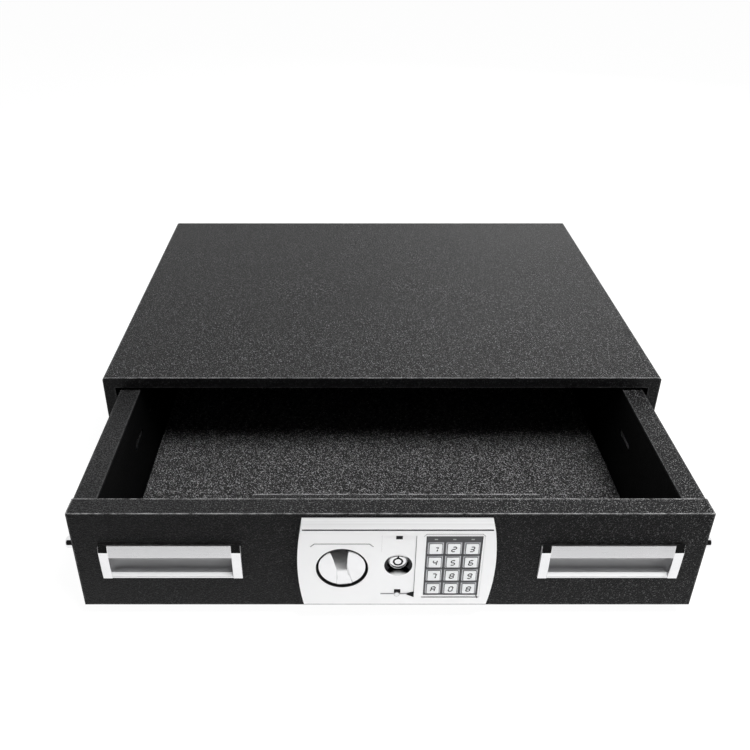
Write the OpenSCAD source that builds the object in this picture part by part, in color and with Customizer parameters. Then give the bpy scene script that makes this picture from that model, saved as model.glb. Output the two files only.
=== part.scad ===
// Under-bed drawer safe: a low steel cabinet, a lockable drawer on ball slides,
// and a lock that throws two round bolts behind the cabinet's front lips.
// Millimetres. X is across the safe, Y runs from its front to its back, Z is up.
// The origin is the centre of the cabinet's underside.

/* [Cabinet] */
// Width of the cabinet
cab_w = 634; // [560:1:760]
// Depth of the cabinet
cab_d = 490; // [470:1:560]
// Height of the cabinet
cab_h = 151; // [146:1:190]
// Sheet thickness of the cabinet
cab_t = 2; // [1.5:0.1:2.6]
// Outer corner radius of the folded cabinet
cab_r = 3; // [3:0.5:5]
// Width of the lip round the cabinet's mouth
lip_w = 13; // [12:0.5:15]
// Radius of the floor anchor holes
anchor_r = 5.5; // [3:0.5:8]
// Anchor hole spacing across
anchor_x = 460; // [200:1:500]
// Anchor hole spacing front to back
anchor_y = 320; // [100:1:400]

/* [Drawer] */
// How far the drawer stands open
open_shown = 213; // [60:1:215]
// Gap between the drawer front and the lip round it
front_gap = 4; // [3:0.5:5]
// Depth of the hollow drawer front
front_d = 22; // [22:0.5:26]
// Plate thickness of the drawer front
front_t = 2.5; // [2:0.1:3]
// Thickness of the plate that closes the drawer front
closing_t = 1.5; // [1:0.1:2]
// Sheet thickness of the drawer tray
tray_t = 1.2; // [1:0.1:1.6]
// Length of the tray behind the drawer front
tray_l = 436; // [434:1:440]
// Height of the tray floor over the drawer front's lower edge
floor_rise = 8.8; // [8:0.2:10]
// Width of the folded rim on top of each tray side
rim_w = 22.5; // [21:0.5:24]
// Distance from the drawer front's side to the rim's outer edge
rim_inset = 1.5; // [1:0.5:3]
// Depth of the rim's folded edge
rim_hem = 8; // [4:0.5:12]
// Thickness of the carpet mat
mat_t = 4; // [2:0.5:5]
// Clearance round the carpet mat
mat_gap = 3; // [1:0.5:6]

/* [Ball slides] */
// Length of one slide, closed
slide_l = 430; // [425:1:432]
// How far the slides open in all
slide_travel = 420; // [380:1:420]
// Height of a slide
slide_h = 45; // [45:0.5:50]
// Thickness of a slide
slide_t = 12.7; // [12.7:0.1:13.5]
// Sheet thickness of the slide members
member_t = 1.2; // [1:0.1:1.3]
// Height of the slides' middle over the cabinet's underside
slide_z = 88; // [80:1:92]
// Radius of the slide balls
ball_r = 2; // [1.8:0.05:2]
// Balls in one row
ball_count = 5; // [3:1:8]

/* [Handles] */
// Width of a handle
handle_w = 135; // [124:1:140]
// Height of a handle
handle_h = 42.5; // [40:0.5:44]
// Distance from the drawer front's side to a handle's middle
handle_inset = 90; // [86:1:94]
// How far the pair of handles sits right of the drawer's middle
handle_shift = 1.8; // [0:0.2:3]
// Depth of the finger cup behind the front's face
cup_d = 14.5; // [12:0.5:14.5]
// Wall of the finger cup
cup_t = 1.2; // [1:0.1:1.6]
// How far the end caps and the grip bow out
bow = 2; // [1.6:0.1:3.4]
// Width of an end cap
cap_w = 9; // [8:0.5:12]
// Height of the grip plate
grip_h = 15.1; // [14:0.1:19]

/* [Lock panel] */
// Width of the panel at its middle
panel_w = 187.4; // [184:0.2:194]
// Height of the panel
panel_h = 101.2; // [98:0.2:102]
// How far the panel stands out of the drawer front
panel_d = 10; // [9:0.5:11]
// How far each side of the panel bows out
panel_bow = 5; // [3:0.5:6]
// Height of the sloped band along the panel's top
panel_slope = 6.3; // [5:0.1:8]
// Wall of the panel
panel_t = 2; // [1.6:0.1:2.2]
// Panel's middle, right of the drawer's middle
panel_x = 6.8; // [4:0.2:10]
// Radius of the knob
knob_r = 22.8; // [20:0.1:23.2]
// Gap round the knob
knob_gap = 2.1; // [1:0.1:2.4]
// How far the knob turns
knob_turn = 90; // [90:1:90]
// Pitch of the keys
key_pitch = 17; // [16.6:0.1:17.4]
// Side of a key
key_w = 15; // [13:0.1:15]
// How far a key can be pressed
key_travel = 1; // [0.6:0.1:1.2]

/* [Bolt work] */
// Radius of a locking bolt
bolt_r = 6; // [5:0.1:6]
// How far the bolts travel
bolt_travel = 10; // [8:0.5:10]
// Distance from the front's face to the bolts' axis
bolt_y = 13; // [12.5:0.1:13.2]
// Height of the bolts' axis over the middle line of the handles
bolt_rise = 12.3; // [10:0.1:13]
// Thickness of the drive bars
bar_t = 2.5; // [2:0.1:2.6]
// Height of the drive bars
bar_h = 16; // [12:0.5:16]
// Radius of the crank pins
pin_r = 1.5; // [1.2:0.1:1.7]

/* [Hidden] */
$fn = 48;

// Clearances
run_fit = 0.05;      // radial play of a shaft or bolt in its bore
seat_fit = 0.1;      // play of a piece that is pushed or welded into place
slide_fit = 0.4;     // play of a drive bar in its guide
eps = 0.1;           // how far a cutter runs past the face it cuts

// Cabinet and drawer front
in_w = cab_w - 2 * cab_t;
in_h = cab_h - 2 * cab_t;
front_y0 = -cab_d / 2;                   // the cabinet's front face
face_y = front_y0 - open_shown;          // the drawer front's face, where the drawer stands
front_w = cab_w - 2 * (lip_w + front_gap);
front_z0 = lip_w + front_gap;
front_z1 = cab_h - front_z0;
front_h = front_z1 - front_z0;
closing_y = front_d - closing_t;         // from here on, Y counts from the drawer front's face
back_seat = 1;                           // how deep the back plate sits in the cabinet

// Tray
rim_x = front_w / 2 - rim_inset;
wall_x = rim_x - rim_w;                  // inner face of a tray side
tray_x = wall_x + tray_t;                // outer face of a tray side
tray_y1 = front_d + tray_l;
tray_z0 = front_z0 + floor_rise;
floor_z = tray_z0 + tray_t;
mat_z = floor_z + mat_t;
slot_l = 36;                             // slot in each tray side, over the slide
slot_r = 4;
slot_y = 182;

// Slides
slide_y0 = 28;                           // the slides' front end, behind the drawer's face when shut
bracket_x = tray_x + slide_t;            // inner face of a bracket
bracket_h = slide_h + 5;
bracket_t = 2;
shut_y = front_y0 + slide_y0;            // the slides' front end when shut
ball_play = 0.1;
race = 2 * (ball_r + ball_play);         // height of a ball row
outer_v = slide_h / 2;
middle_v = outer_v - member_t - race;
inner_v = middle_v - member_t - race;
middle_u0 = 3;                           // the middle member's web, from the bracket
outer_u1 = slide_t - 3.7;
middle_u1 = slide_t - 1.7;
inner_u1 = 6.5;
outer_ball_u = 6;
inner_ball_u = slide_t - 4.2;
cage_l = slide_l * 0.465;
cage_w = 2 * ball_r + 1.6;
cage_t = 1;
cage_hole = ball_r + 0.08;
screw_ys = [0.08, 0.5, 0.92];            // where the slide screws sit, as shares of the slide
screw_r = 2;
screw_head_r = 3.5;
screw_head_h = 1.1;

// Handles
handle_z = front_z0 + front_h / 2 + 0.2; // the middle line of the handles
handle_x = front_w / 2 - handle_inset;
frame_t = 1.5;                           // thickness of a handle's frame
cup_w = handle_w - 11;
cup_h = handle_h - 5;
grip_t = 1.5;
bow_r = (pow(handle_h / 2, 2) + bow * bow) / (2 * bow);

// Lock panel: its fittings, from left to right
knob_z = handle_z - 0.4;
lock_z = handle_z + 3.2;
pad_z = handle_z + 2.1;
panel_mid = handle_z + 3.2;
panel_top = panel_mid + panel_h / 2;
panel_r = (pow(panel_h / 2, 2) + panel_bow * panel_bow) / (2 * panel_bow);
slope_y = 1.5;                           // how far out the slope starts
knob_x = panel_x - 51.5;
lock_x = panel_x + 1.8;
pad_x = panel_x + 53;
knob_well = knob_r + knob_gap;
knob_face = 1.2;                         // the knob's face behind the panel's face
knob_t = 6;
knob_tilt = 7;                           // how far the ridge leans with the bolts thrown
ridge_end = 8.3;
ridge_waist = 4.6;
ridge_rise = 4;
ridge_r = (knob_r * knob_r + ridge_rise * ridge_rise) / (2 * ridge_rise);
strip_w = 32.4;                          // shallow recess round the key lock
strip_h = 74.8;
strip_d = 0.8;
line_w = 0.7;
line_d = 0.5;
arch_x = 26;                             // the bracket over the knob
arch_z = 31.4;
arch_drop = 4;
pocket = 7;
clip_w = 6;
clip_h = 3.8;
clip_low = 33.4;                         // the lower clip slot, below the key lock's middle
clip_high = 34.6;
cone_r = 13.6;                           // mouth of the funnel in front of the key lock
lock_r = 8;
lock_face = 4.6;                         // the key lock's face, in front of the drawer's face
lock_flange_r = 10;

// Keypad
pad_w = 2 * key_pitch + key_w + 2.5;
pad_top = 7;                             // plate above the top row of keys
pad_h = pad_top + 3 * key_pitch + key_w + 1;
pad_z1 = pad_z + pad_h / 2;
pad_t = 1.6;
pad_sink = 0.6;                          // the keypad's face behind the panel's face
pad_y = -panel_d + pad_sink;
pad_border = 2.6;                        // sunk border round the keypad
key_proud = 1.4;
key_gap = 0.25;                          // round a key, in its hole
key_flange = 0.7;
key_flange_t = 0.8;
key_top_z = pad_z1 - pad_top - key_w / 2;
key_bevel = 1.4;
key_corner = 1;
board_t = 1.6;
board_y = pad_y + pad_t + 0.2 + key_flange_t + key_travel + 0.7;
board_w = pad_w + 8.5;
board_h = pad_h + 8;
post_r = 2;
wire_hole_z = pad_z - 23;
lens_w = 3;
lens_h = 1.2;
lens_drop = 3.4;

// Bolt work
bolt_z = handle_z + bolt_rise;
tip_x = front_w / 2 + bolt_travel;       // tip of a thrown bolt
bolt_l = 20;
bolt_end = 1.5;                          // chamfer of a bolt's tip
bolt_x = tip_x - bolt_l;                 // inner end of a thrown bolt
bush_r = bolt_r + 0.95;
bush_flange_r = bolt_r + 1.4;
bush_l = 5.5;
tab_t = 2.5;
bar_y = bolt_y + 2.5;
bar_z0 = bolt_z - bar_h / 2;
bar_z1 = bolt_z + bar_h / 2;
crank_throw = bolt_travel / (2 * sin(knob_turn / 2));
crank_off = bolt_travel / 2;
crank_r = crank_throw + 3.4;
crank_t = 2;
crank_y = bar_y - 1 - crank_t;
spindle_r = 4;
tail_r = 3;
// A crank pin's own path strays from a straight share of its turn by this much
pin_stray = crank_throw * sin(knob_turn / 4) - crank_off / 2;
pin_slot_w = 2 * (pin_r + abs(pin_stray) + 0.1);
pin_slot_z0 = crank_off - pin_r - 0.4;
pin_slot_z1 = crank_throw + pin_r + 0.4;
guide_w = 8;
guide_x = handle_x - handle_shift - cup_w / 2 - 1.5 - guide_w / 2;
bar_inner_left = knob_x + 8.7;           // inner ends of the bars, bolts thrown
bar_inner_right = knob_x + 36.7;

// Lock cover and what it covers
cover_w = 275;
cover_d = 8;
cover_t = 1.8;
cover_z0 = mat_z + 2;
cover_z1 = front_z1 - 1;
cover_h = cover_z1 - cover_z0;
cover_mid = (cover_z0 + cover_z1) / 2;
cover_in_y = front_d + cover_d - cover_t;
guide_rim = 2.4;                         // metal over and under a bar, in its guide
wing_w = 8;                              // flanges that hold the cover
wing_x = cover_w / 2 + wing_w / 2;
wing_low = cover_z0 + 6;
wing_high = cover_z1 - 14;
wing_screw = 6;                          // from a flange's end to its screw
cover_screw_r = 1.5;
cover_head_r = 3;
cover_head_h = 1.4;
cover_screw_x = [panel_x - wing_x, panel_x + wing_x];
cover_screw_z = [wing_low + wing_screw, wing_high - wing_screw];

plunger_x = lock_x + 11.4;
plunger_y = bar_y + bar_t / 2;
plunger_r = 2.5;
collar_r = 5;
collar_t = 2;
plunger_rise = 4;
plug_r = 4.65;
post_in_r = 3.3;
barrel_y1 = crank_y - 1.2;
cam_t = 2;
cam_w = 8;
cam_l = 14;
collar_z1 = lock_z - cam_w / 2 - 0.1;    // the cam holds the collar down
solenoid_w = 20;
solenoid_d = 14.5;
solenoid_h = 22.8;
spring_l = 6;
solenoid_z1 = collar_z1 - collar_t - spring_l;
solenoid_z0 = solenoid_z1 - solenoid_h;
solenoid_foot = 6;
plunger_gap = 0.6;                       // between the plunger and the bar above it
core_floor = 3;
notch_d = plunger_rise + 0.5;
plunger_z0 = solenoid_z0 + core_floor + 0.3;

cell_r = 7.1;
cell_l = 50.5;
holder_t = 1.2;
holder_x0 = plunger_x + 12;
holder_l = 2 * cell_l + 2 * holder_t + 2.6;
holder_h = 4 * cell_r + 2 * holder_t + 0.6;
holder_y1 = cover_in_y - 1.9;
holder_d = 2 * cell_r + holder_t + 0.4;
holder_z0 = bar_z0 - slide_fit - guide_rim - 3 - holder_h;
door_w = holder_l - 12;
door_h = 27;
door_t = 1.6;
door_gap = 0.3;
door_x = holder_x0 + holder_l / 2;
door_z0 = holder_z0 + 3.2;
door_pin_r = 0.9;
door_pin_y = front_d + cover_d - 1.3;
door_axis_up = 1;                        // the door's axis, over its lower edge
door_ear = 3;

control_w = 66;
control_h = 60;
control_x = panel_x - 92;
window_x0 = control_x - control_w / 2 - 5;   // opening in the closing plate
window_x1 = holder_x0 + holder_l + 1.8;
window_z0 = holder_z0 - 0.8;
window_z1 = cover_z1 - 10;
control_z = cover_mid;
control_y = cover_in_y - 3.7;
chip_w = 16;
chip_t = 1.6;
plug_w = 12;                             // sockets for the wires
plug_h = 6;
plug_d = 4.2;
plug_low_x = control_x + 22;
plug_low_z = control_z - 21;
plug_high_x = control_x - 22;
plug_high_z = control_z + 19;
wire_r = 1;
lead_y = 7;
lead_z = window_z1 - 6;
coil_x = plunger_x - 16;
holder_lead_x = holder_x0 + 20;
reset_x = panel_x - 30;
reset_z = cover_mid - 20;
reset_r = 3;
reset_proud = 1;
reset_flange_r = 4.5;

function arc(cx, cy, r, a0, a1, n = 4) =
    [for (i = [0:n]) let (a = a0 + (a1 - a0) * i / n) [cx + r * cos(a), cy + r * sin(a)]];

function rounded(w, h, r, n = 4) = concat(
    arc(w / 2 - r, h / 2 - r, r, 0, 90, n), arc(r - w / 2, h / 2 - r, r, 90, 180, n),
    arc(r - w / 2, r - h / 2, r, 180, 270, n), arc(w / 2 - r, r - h / 2, r, 270, 360, n));

// A C channel: web at u0, open towards u1, half height v, sheet thickness t
function channel(u0, u1, v, t) = let (s = u1 > u0 ? t : -t) [
    [u0, -v], [u1, -v], [u1, t - v], [u0 + s, t - v], [u0 + s, v - t], [u1, v - t], [u1, v], [u0, v]];

module block(x0, x1, y0, y1, z0, z1) {
    translate([min(x0, x1), y0, z0]) cube([abs(x1 - x0), y1 - y0, z1 - z0]);
}

// A flat shape in X and Z, from y0 to y1
module prism(y0, y1) {
    translate([0, y1, 0]) rotate([90, 0, 0]) linear_extrude(height = y1 - y0) children();
}

// A round bar along Y
module rod(x, z, y0, y1, r) {
    translate([x, y0, z]) rotate([-90, 0, 0]) cylinder(r = r, h = y1 - y0);
}

// A round bar along X
module axle(y, z, x0, x1, r) {
    translate([min(x0, x1), y, z]) rotate([0, 90, 0]) cylinder(r = r, h = abs(x1 - x0));
}

module in_drawer() {
    translate([0, face_y, 0]) children();
}

module both_sides() {
    children();
    mirror([1, 0, 0]) children();
}

// One side only: s is 1 for the right, -1 for the left
module side(s) {
    mirror([s > 0 ? 0 : 1, 0, 0]) children();
}

module cabinet_shell() {
    color([0.13, 0.13, 0.14]) difference() {
        prism(front_y0, cab_d / 2) translate([0, cab_h / 2]) polygon(rounded(cab_w, cab_h, cab_r));
        prism(front_y0 + cab_t, cab_d / 2 + eps)
            translate([0, cab_h / 2]) polygon(rounded(in_w, in_h, cab_r - cab_t));
        prism(front_y0 - eps, front_y0 + cab_t + eps)
            translate([-cab_w / 2 + lip_w, lip_w]) square([cab_w - 2 * lip_w, cab_h - 2 * lip_w]);
        for (x = [-1, 1], y = [-1, 1])
            translate([x * anchor_x / 2, y * anchor_y / 2, -eps])
                cylinder(r = anchor_r, h = cab_t + 2 * eps);
    }
}

module cabinet_back() {
    color([0.13, 0.13, 0.14])
        prism(cab_d / 2 - back_seat - cab_t, cab_d / 2 - back_seat) translate([0, cab_h / 2])
            polygon(rounded(in_w - 2 * seat_fit, in_h - 2 * seat_fit, cab_r - cab_t));
}

// Screw holes along X at the slide's three screw places, from the slide's front end at y0
module slide_holes(y0, x0, x1, r) {
    for (s = screw_ys) axle(y0 + s * slide_l, slide_z, x0, x1, r);
}

module slide_brackets() {
    color([0.16, 0.16, 0.17]) both_sides() difference() {
        translate([0, shut_y + slide_l, 0]) rotate([90, 0, 0]) linear_extrude(height = slide_l)
            translate([bracket_x, slide_z])
                polygon(channel(0, in_w / 2 - bracket_x, bracket_h / 2, bracket_t));
        slide_holes(shut_y, bracket_x - eps, bracket_x + bracket_t + eps, screw_r + run_fit);
    }
}

// One slide member at the right-hand side, front end at y0
module member(y0, u0, u1, v) {
    translate([0, y0 + slide_l, 0]) rotate([90, 0, 0]) linear_extrude(height = slide_l)
        translate([bracket_x, slide_z]) mirror([1, 0]) polygon(channel(u0, u1, v, member_t));
}

module slide_outer_members() {
    color([0.72, 0.73, 0.74]) both_sides() difference() {
        member(shut_y, 0, outer_u1, outer_v);
        slide_holes(shut_y, bracket_x - member_t - eps, bracket_x + eps, screw_r + run_fit);
    }
}

module slide_middle_members() {
    color([0.70, 0.71, 0.72]) both_sides() difference() {
        member(shut_y - open_shown / 2, middle_u0, middle_u1, middle_v);
        for (y = [0.2, 0.8])
            axle(shut_y - open_shown / 2 + y * slide_l, slide_z,
                bracket_x - middle_u0 - member_t - eps, bracket_x - middle_u0 + eps, screw_head_r);
    }
}

module slide_inner_members() {
    color([0.72, 0.73, 0.74]) both_sides() difference() {
        member(shut_y - open_shown, slide_t, inner_u1, inner_v);
        slide_holes(shut_y - open_shown, tray_x - eps, tray_x + member_t + eps, screw_r + run_fit);
    }
}

// A pan-head screw along X: head at x0, its shank running to x1
module pan_screw(y, z, x0, x1) {
    s = x1 > x0 ? 1 : -1;
    axle(y, z, x0, x0 + s * screw_head_h, screw_head_r);
    axle(y, z, x0 + s * screw_head_h, x1, screw_r);
}

module cabinet_slide_screws() {
    color([0.75, 0.76, 0.78]) both_sides() for (s = screw_ys)
        pan_screw(shut_y + s * slide_l, slide_z,
            bracket_x - member_t - screw_head_h, bracket_x + bracket_t + 1.5);
}

module drawer_slide_screws() {
    color([0.75, 0.76, 0.78]) both_sides() for (s = screw_ys)
        pan_screw(shut_y - open_shown + s * slide_l, slide_z, tray_x + member_t + screw_head_h, wall_x);
}

// Two rows of balls and their strips on the right-hand side, the strips' middle at y
module ball_rows(y, u, v) {
    step = cage_l / ball_count;
    for (s = [-1, 1]) translate([bracket_x - u, y, slide_z + s * v]) {
        difference() {
            translate([-cage_w / 2, -cage_l / 2, -cage_t / 2]) cube([cage_w, cage_l, cage_t]);
            for (i = [0:ball_count - 1])
                translate([0, (i + 0.5) * step - cage_l / 2, -cage_t])
                    cylinder(r = cage_hole, h = 2 * cage_t);
        }
        for (i = [0:ball_count - 1])
            translate([0, (i + 0.5) * step - cage_l / 2, 0]) sphere(r = ball_r);
    }
}

module ball_retainers_outer() {
    color([0.85, 0.78, 0.55]) both_sides()
        ball_rows(shut_y + slide_l / 2 - open_shown / 4, outer_ball_u, outer_v - member_t - race / 2);
}

module ball_retainers_inner() {
    color([0.85, 0.78, 0.55]) both_sides()
        ball_rows(shut_y + slide_l / 2 - 3 * open_shown / 4, inner_ball_u, middle_v - member_t - race / 2);
}

module drawer_tray() {
    right = [[wall_x, floor_z], [wall_x, front_z1], [rim_x, front_z1], [rim_x, front_z1 - rim_hem],
        [rim_x - tray_t, front_z1 - rim_hem], [rim_x - tray_t, front_z1 - tray_t],
        [tray_x, front_z1 - tray_t], [tray_x, tray_z0]];
    left = [for (i = [len(right) - 1:-1:0]) [-right[i][0], right[i][1]]];
    color([0.14, 0.14, 0.15]) in_drawer() difference() {
        union() {
            prism(front_d, tray_y1) polygon(concat(right, left));
            block(-wall_x - tray_t / 2, wall_x + tray_t / 2, tray_y1 - tray_t, tray_y1,
                floor_z - tray_t / 2, front_z1);
        }
        both_sides() {
            slide_holes(slide_y0, wall_x - eps, tray_x + eps, screw_r + run_fit);
            hull() for (y = [slot_r - slot_l / 2, slot_l / 2 - slot_r])
                axle(slot_y + y, slide_z, wall_x - eps, tray_x + eps, slot_r);
        }
    }
}

module drawer_front() {
    color([0.10, 0.10, 0.11]) in_drawer() difference() {
        block(-front_w / 2, front_w / 2, 0, front_d, front_z0, front_z1);
        block(front_t - front_w / 2, front_w / 2 - front_t, front_t, front_d + eps,
            front_z0 + front_t, front_z1 - front_t);
        for (x = [handle_shift - handle_x, handle_shift + handle_x])
            block(x - cup_w / 2 - seat_fit, x + cup_w / 2 + seat_fit, -eps, front_t + eps,
                handle_z - cup_h / 2 - seat_fit, handle_z + cup_h / 2 + seat_fit);
        rod(knob_x, knob_z, -eps, front_t + eps, spindle_r + 3 + seat_fit);
        rod(lock_x, lock_z, -eps, front_t + eps, lock_r + seat_fit);
        rod(pad_x, wire_hole_z, -eps, front_t + eps, 4);
        both_sides() axle(bolt_y, bolt_z, front_w / 2 - front_t - eps, front_w / 2 + eps, bush_r + run_fit);
    }
}

module front_closing_plate() {
    color([0.14, 0.14, 0.15]) in_drawer() difference() {
        block(front_t + seat_fit - front_w / 2, front_w / 2 - front_t - seat_fit, closing_y, front_d,
            front_z0 + front_t + seat_fit, front_z1 - front_t - seat_fit);
        block(window_x0, window_x1, closing_y - eps, front_d + eps, window_z0, window_z1);
        for (x = cover_screw_x, z = cover_screw_z)
            rod(x, z, closing_y - eps, front_d + eps, cover_screw_r + run_fit);
    }
}

module lock_cover() {
    y1 = front_d + cover_d;
    color([0.11, 0.11, 0.12]) in_drawer() difference() {
        union() {
            difference() {
                prism(front_d, y1) translate([panel_x, cover_mid]) polygon(rounded(cover_w, cover_h, 3));
                prism(front_d - eps, cover_in_y) translate([panel_x, cover_mid])
                    polygon(rounded(cover_w - 2 * cover_t, cover_h - 2 * cover_t, 1.2));
                block(door_x - door_w / 2 - door_gap, door_x + door_w / 2 + door_gap,
                    cover_in_y - eps, y1 + eps, door_z0 - 2 * door_gap, door_z0 + door_h + door_gap);
            }
            for (x = cover_screw_x)
                block(x - wing_w / 2 - cover_t / 2, x + wing_w / 2 + cover_t / 2,
                    front_d, front_d + cover_t, wing_low, wing_high);
            for (x = [-1, 1], z = [-1, 1])
                rod(control_x + x * (control_w / 2 - 4), control_z + z * (control_h / 2 - 4),
                    control_y + board_t, y1 - cover_t / 2, post_r);
            for (s = [-1, 1]) translate([door_x, 0, 0]) side(s)
                block(door_w / 2 + door_gap, door_w / 2 + door_gap + door_ear, y1 - 3, y1,
                    door_z0 - 1, door_z0 + 3.4);
        }
        for (x = cover_screw_x, z = cover_screw_z)
            rod(x, z, front_d - eps, front_d + cover_t + eps, cover_screw_r + run_fit);
        axle(door_pin_y, door_z0 + door_axis_up, door_x - door_w / 2 - 2.2, door_x + door_w / 2 + 2.2,
            door_pin_r + run_fit);
        rod(reset_x, reset_z, cover_in_y - eps, y1 + eps, reset_r + 2 * run_fit);
    }
}

module lock_cover_screws() {
    y1 = front_d + cover_t;
    color([0.72, 0.73, 0.75]) in_drawer() for (x = cover_screw_x, z = cover_screw_z) difference() {
        union() {
            rod(x, z, closing_y - 1.5, y1, cover_screw_r);
            rod(x, z, y1, y1 + cover_head_h, cover_head_r);
        }
        block(x - 2, x + 2, y1 + cover_head_h - 0.6, y1 + cover_head_h + eps, z - 0.4, z + 0.4);
        block(x - 0.4, x + 0.4, y1 + cover_head_h - 0.6, y1 + cover_head_h + eps, z - 2, z + 2);
    }
}

module carpet_mat() {
    color([0.20, 0.20, 0.21]) in_drawer()
        translate([0, (front_d + tray_y1 - tray_t) / 2, floor_z]) linear_extrude(height = mat_t)
            polygon(rounded(2 * (wall_x - mat_gap), tray_l - tray_t - 2 * mat_gap, 4));
}

// The opening of a handle, between its end caps
module handle_cup(s) {
    x = handle_shift + s * handle_x;
    color([0.62, 0.63, 0.64]) in_drawer() difference() {
        union() {
            block(x - handle_w / 2, x + handle_w / 2, -frame_t, 0,
                handle_z - handle_h / 2, handle_z + handle_h / 2);
            block(x - cup_w / 2, x + cup_w / 2, -frame_t / 2, cup_d,
                handle_z - cup_h / 2, handle_z + cup_h / 2);
        }
        block(x - cup_w / 2 + cup_t, x + cup_w / 2 - cup_t, -frame_t - eps, cup_d - cup_t,
            handle_z - cup_h / 2 + cup_t, handle_z + cup_h / 2 - cup_t);
    }
}

module handle_cup_left() {
    handle_cup(-1);
}

module handle_cup_right() {
    handle_cup(1);
}

// The bowed outline of a handle in Y and Z, swept along X from x0 to x1
module bowed(x0, x1) {
    intersection() {
        axle(-frame_t - bow + bow_r, handle_z, x0, x1, bow_r);
        block(x0, x1, -frame_t - bow - eps, -frame_t, handle_z - handle_h / 2, handle_z + handle_h / 2);
    }
}

module handle_grip(s) {
    x = handle_shift + s * handle_x;
    half = handle_w / 2 - cap_w;
    color([0.80, 0.80, 0.81]) in_drawer() intersection() {
        difference() {
            bowed(x - half, x + half);
            axle(-frame_t - bow + bow_r, handle_z, x - half - eps, x + half + eps, bow_r - grip_t);
        }
        block(x - half, x + half, -frame_t - bow - eps, -frame_t,
            handle_z + handle_h / 2 - grip_h, handle_z + handle_h / 2);
    }
}

module handle_grip_left() {
    handle_grip(-1);
}

module handle_grip_right() {
    handle_grip(1);
}

module handle_end_caps() {
    color([0.88, 0.88, 0.90]) in_drawer() for (s = [-1, 1], e = [-1, 1]) {
        outer = handle_shift + s * handle_x + e * handle_w / 2;
        bowed(outer, outer - e * cap_w);
    }
}

// Outline of the panel, smaller by inset on every side
module panel_outline(inset) {
    h = panel_h / 2 - inset;
    a = asin(h / (panel_r - inset));
    cx = panel_w / 2 - panel_r;
    polygon(concat(arc(cx, 0, panel_r - inset, -a, a, 10),
        arc(-cx, 0, panel_r - inset, 180 - a, 180 + a, 10)));
}

// Shallow lines and steps in the panel's face
module panel_lines() {
    y0 = -panel_d - eps;
    band_z = panel_top - panel_slope;
    block(panel_x - panel_w, panel_x + panel_w, y0, -panel_d + line_d,
        band_z - line_w / 2, band_z + line_w / 2);
    // A bracket over the knob
    prism(y0, -panel_d + line_d) translate([knob_x, knob_z]) for (s = [-1, 1]) scale([s, 1])
        polygon([[0, arch_z], [arch_x, arch_z], [arch_x + arch_drop, arch_z - arch_drop],
            [arch_x + arch_drop - line_w, arch_z - arch_drop],
            [arch_x - line_w / 2, arch_z - line_w], [0, arch_z - line_w]]);
    // The sunk border round the keypad, its upper corners cut off
    w = pad_w / 2 + pad_border;
    h = pad_h / 2 + pad_border + 0.6;
    prism(y0, pad_y) translate([pad_x, pad_z])
        polygon([[-w, -h], [w, -h], [w, h - pad_border], [w - pad_border, h],
            [pad_border - w, h], [-w, h - pad_border]]);
    // The lifting pocket at the strip's lower right corner
    prism(y0, -panel_d + panel_t / 2) translate([lock_x + strip_w / 2, lock_z - strip_h / 2])
        polygon([[-pocket, 0.9], [0, 3], [0, -4], [-pocket, -0.9]]);
    rod(lock_x - 0.4, lock_z - strip_h / 2, y0, -panel_d + 2 * strip_d, 1.6);
}

module lock_panel() {
    color([0.90, 0.90, 0.90]) in_drawer() difference() {
        union() {
            difference() {
                prism(-panel_d, 0) translate([panel_x, panel_mid]) panel_outline(0);
                prism(-panel_d + panel_t, eps) translate([panel_x, panel_mid]) panel_outline(panel_t);
            }
            intersection() {
                prism(-panel_d, -eps) translate([panel_x, panel_mid]) panel_outline(panel_t / 2);
                block(panel_x - panel_w / 2, panel_x + panel_w / 2, -panel_d, -eps,
                    panel_top - panel_slope - panel_t, panel_top);
            }
            rod(knob_x, knob_z, -panel_d, -0.5, knob_well + panel_t / 2);
            rod(lock_x, lock_z, -panel_d, 0, cone_r + panel_t);
            for (x = [-1, 1], z = [-1, 1])
                rod(pad_x + x * (board_w / 2 - 2.2), pad_z + z * (board_h / 2 - 2.2),
                    -panel_d + panel_t / 2, board_y, post_r);
        }
        // The slope along the top
        translate([panel_x, -slope_y, panel_top])
            rotate([90 - atan2(panel_d - slope_y, panel_slope), 0, 0])
                translate([-panel_w, -0.01 - 3 * panel_d, 0]) cube([2 * panel_w, 6 * panel_d, 4 * panel_d]);
        panel_lines();
        rod(knob_x, knob_z, -panel_d - eps, eps, knob_well);
        translate([lock_x, -panel_d - eps, lock_z]) rotate([-90, 0, 0])
            cylinder(r1 = cone_r, r2 = lock_r + 2 * seat_fit, h = panel_d - lock_face + eps);
        rod(lock_x, lock_z, -lock_face - eps, eps, lock_r + 2 * seat_fit);
        rod(lock_x, lock_z, -frame_t - seat_fit, eps, lock_flange_r + seat_fit);
        block(lock_x - strip_w / 2, lock_x + strip_w / 2, -panel_d - eps, -panel_d + strip_d,
            lock_z - strip_h / 2, lock_z + strip_h / 2);
        for (z = [clip_high, -clip_low])
            block(lock_x - clip_w / 2, lock_x + clip_w / 2, -panel_d - eps, -panel_d + panel_t + eps,
                lock_z + z - clip_h / 2, lock_z + z + clip_h / 2);
        block(pad_x - pad_w / 2 - seat_fit, pad_x + pad_w / 2 + seat_fit,
            -panel_d - eps, -panel_d + panel_t + eps,
            pad_z - pad_h / 2 - seat_fit, pad_z + pad_h / 2 + seat_fit);
    }
}

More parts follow.
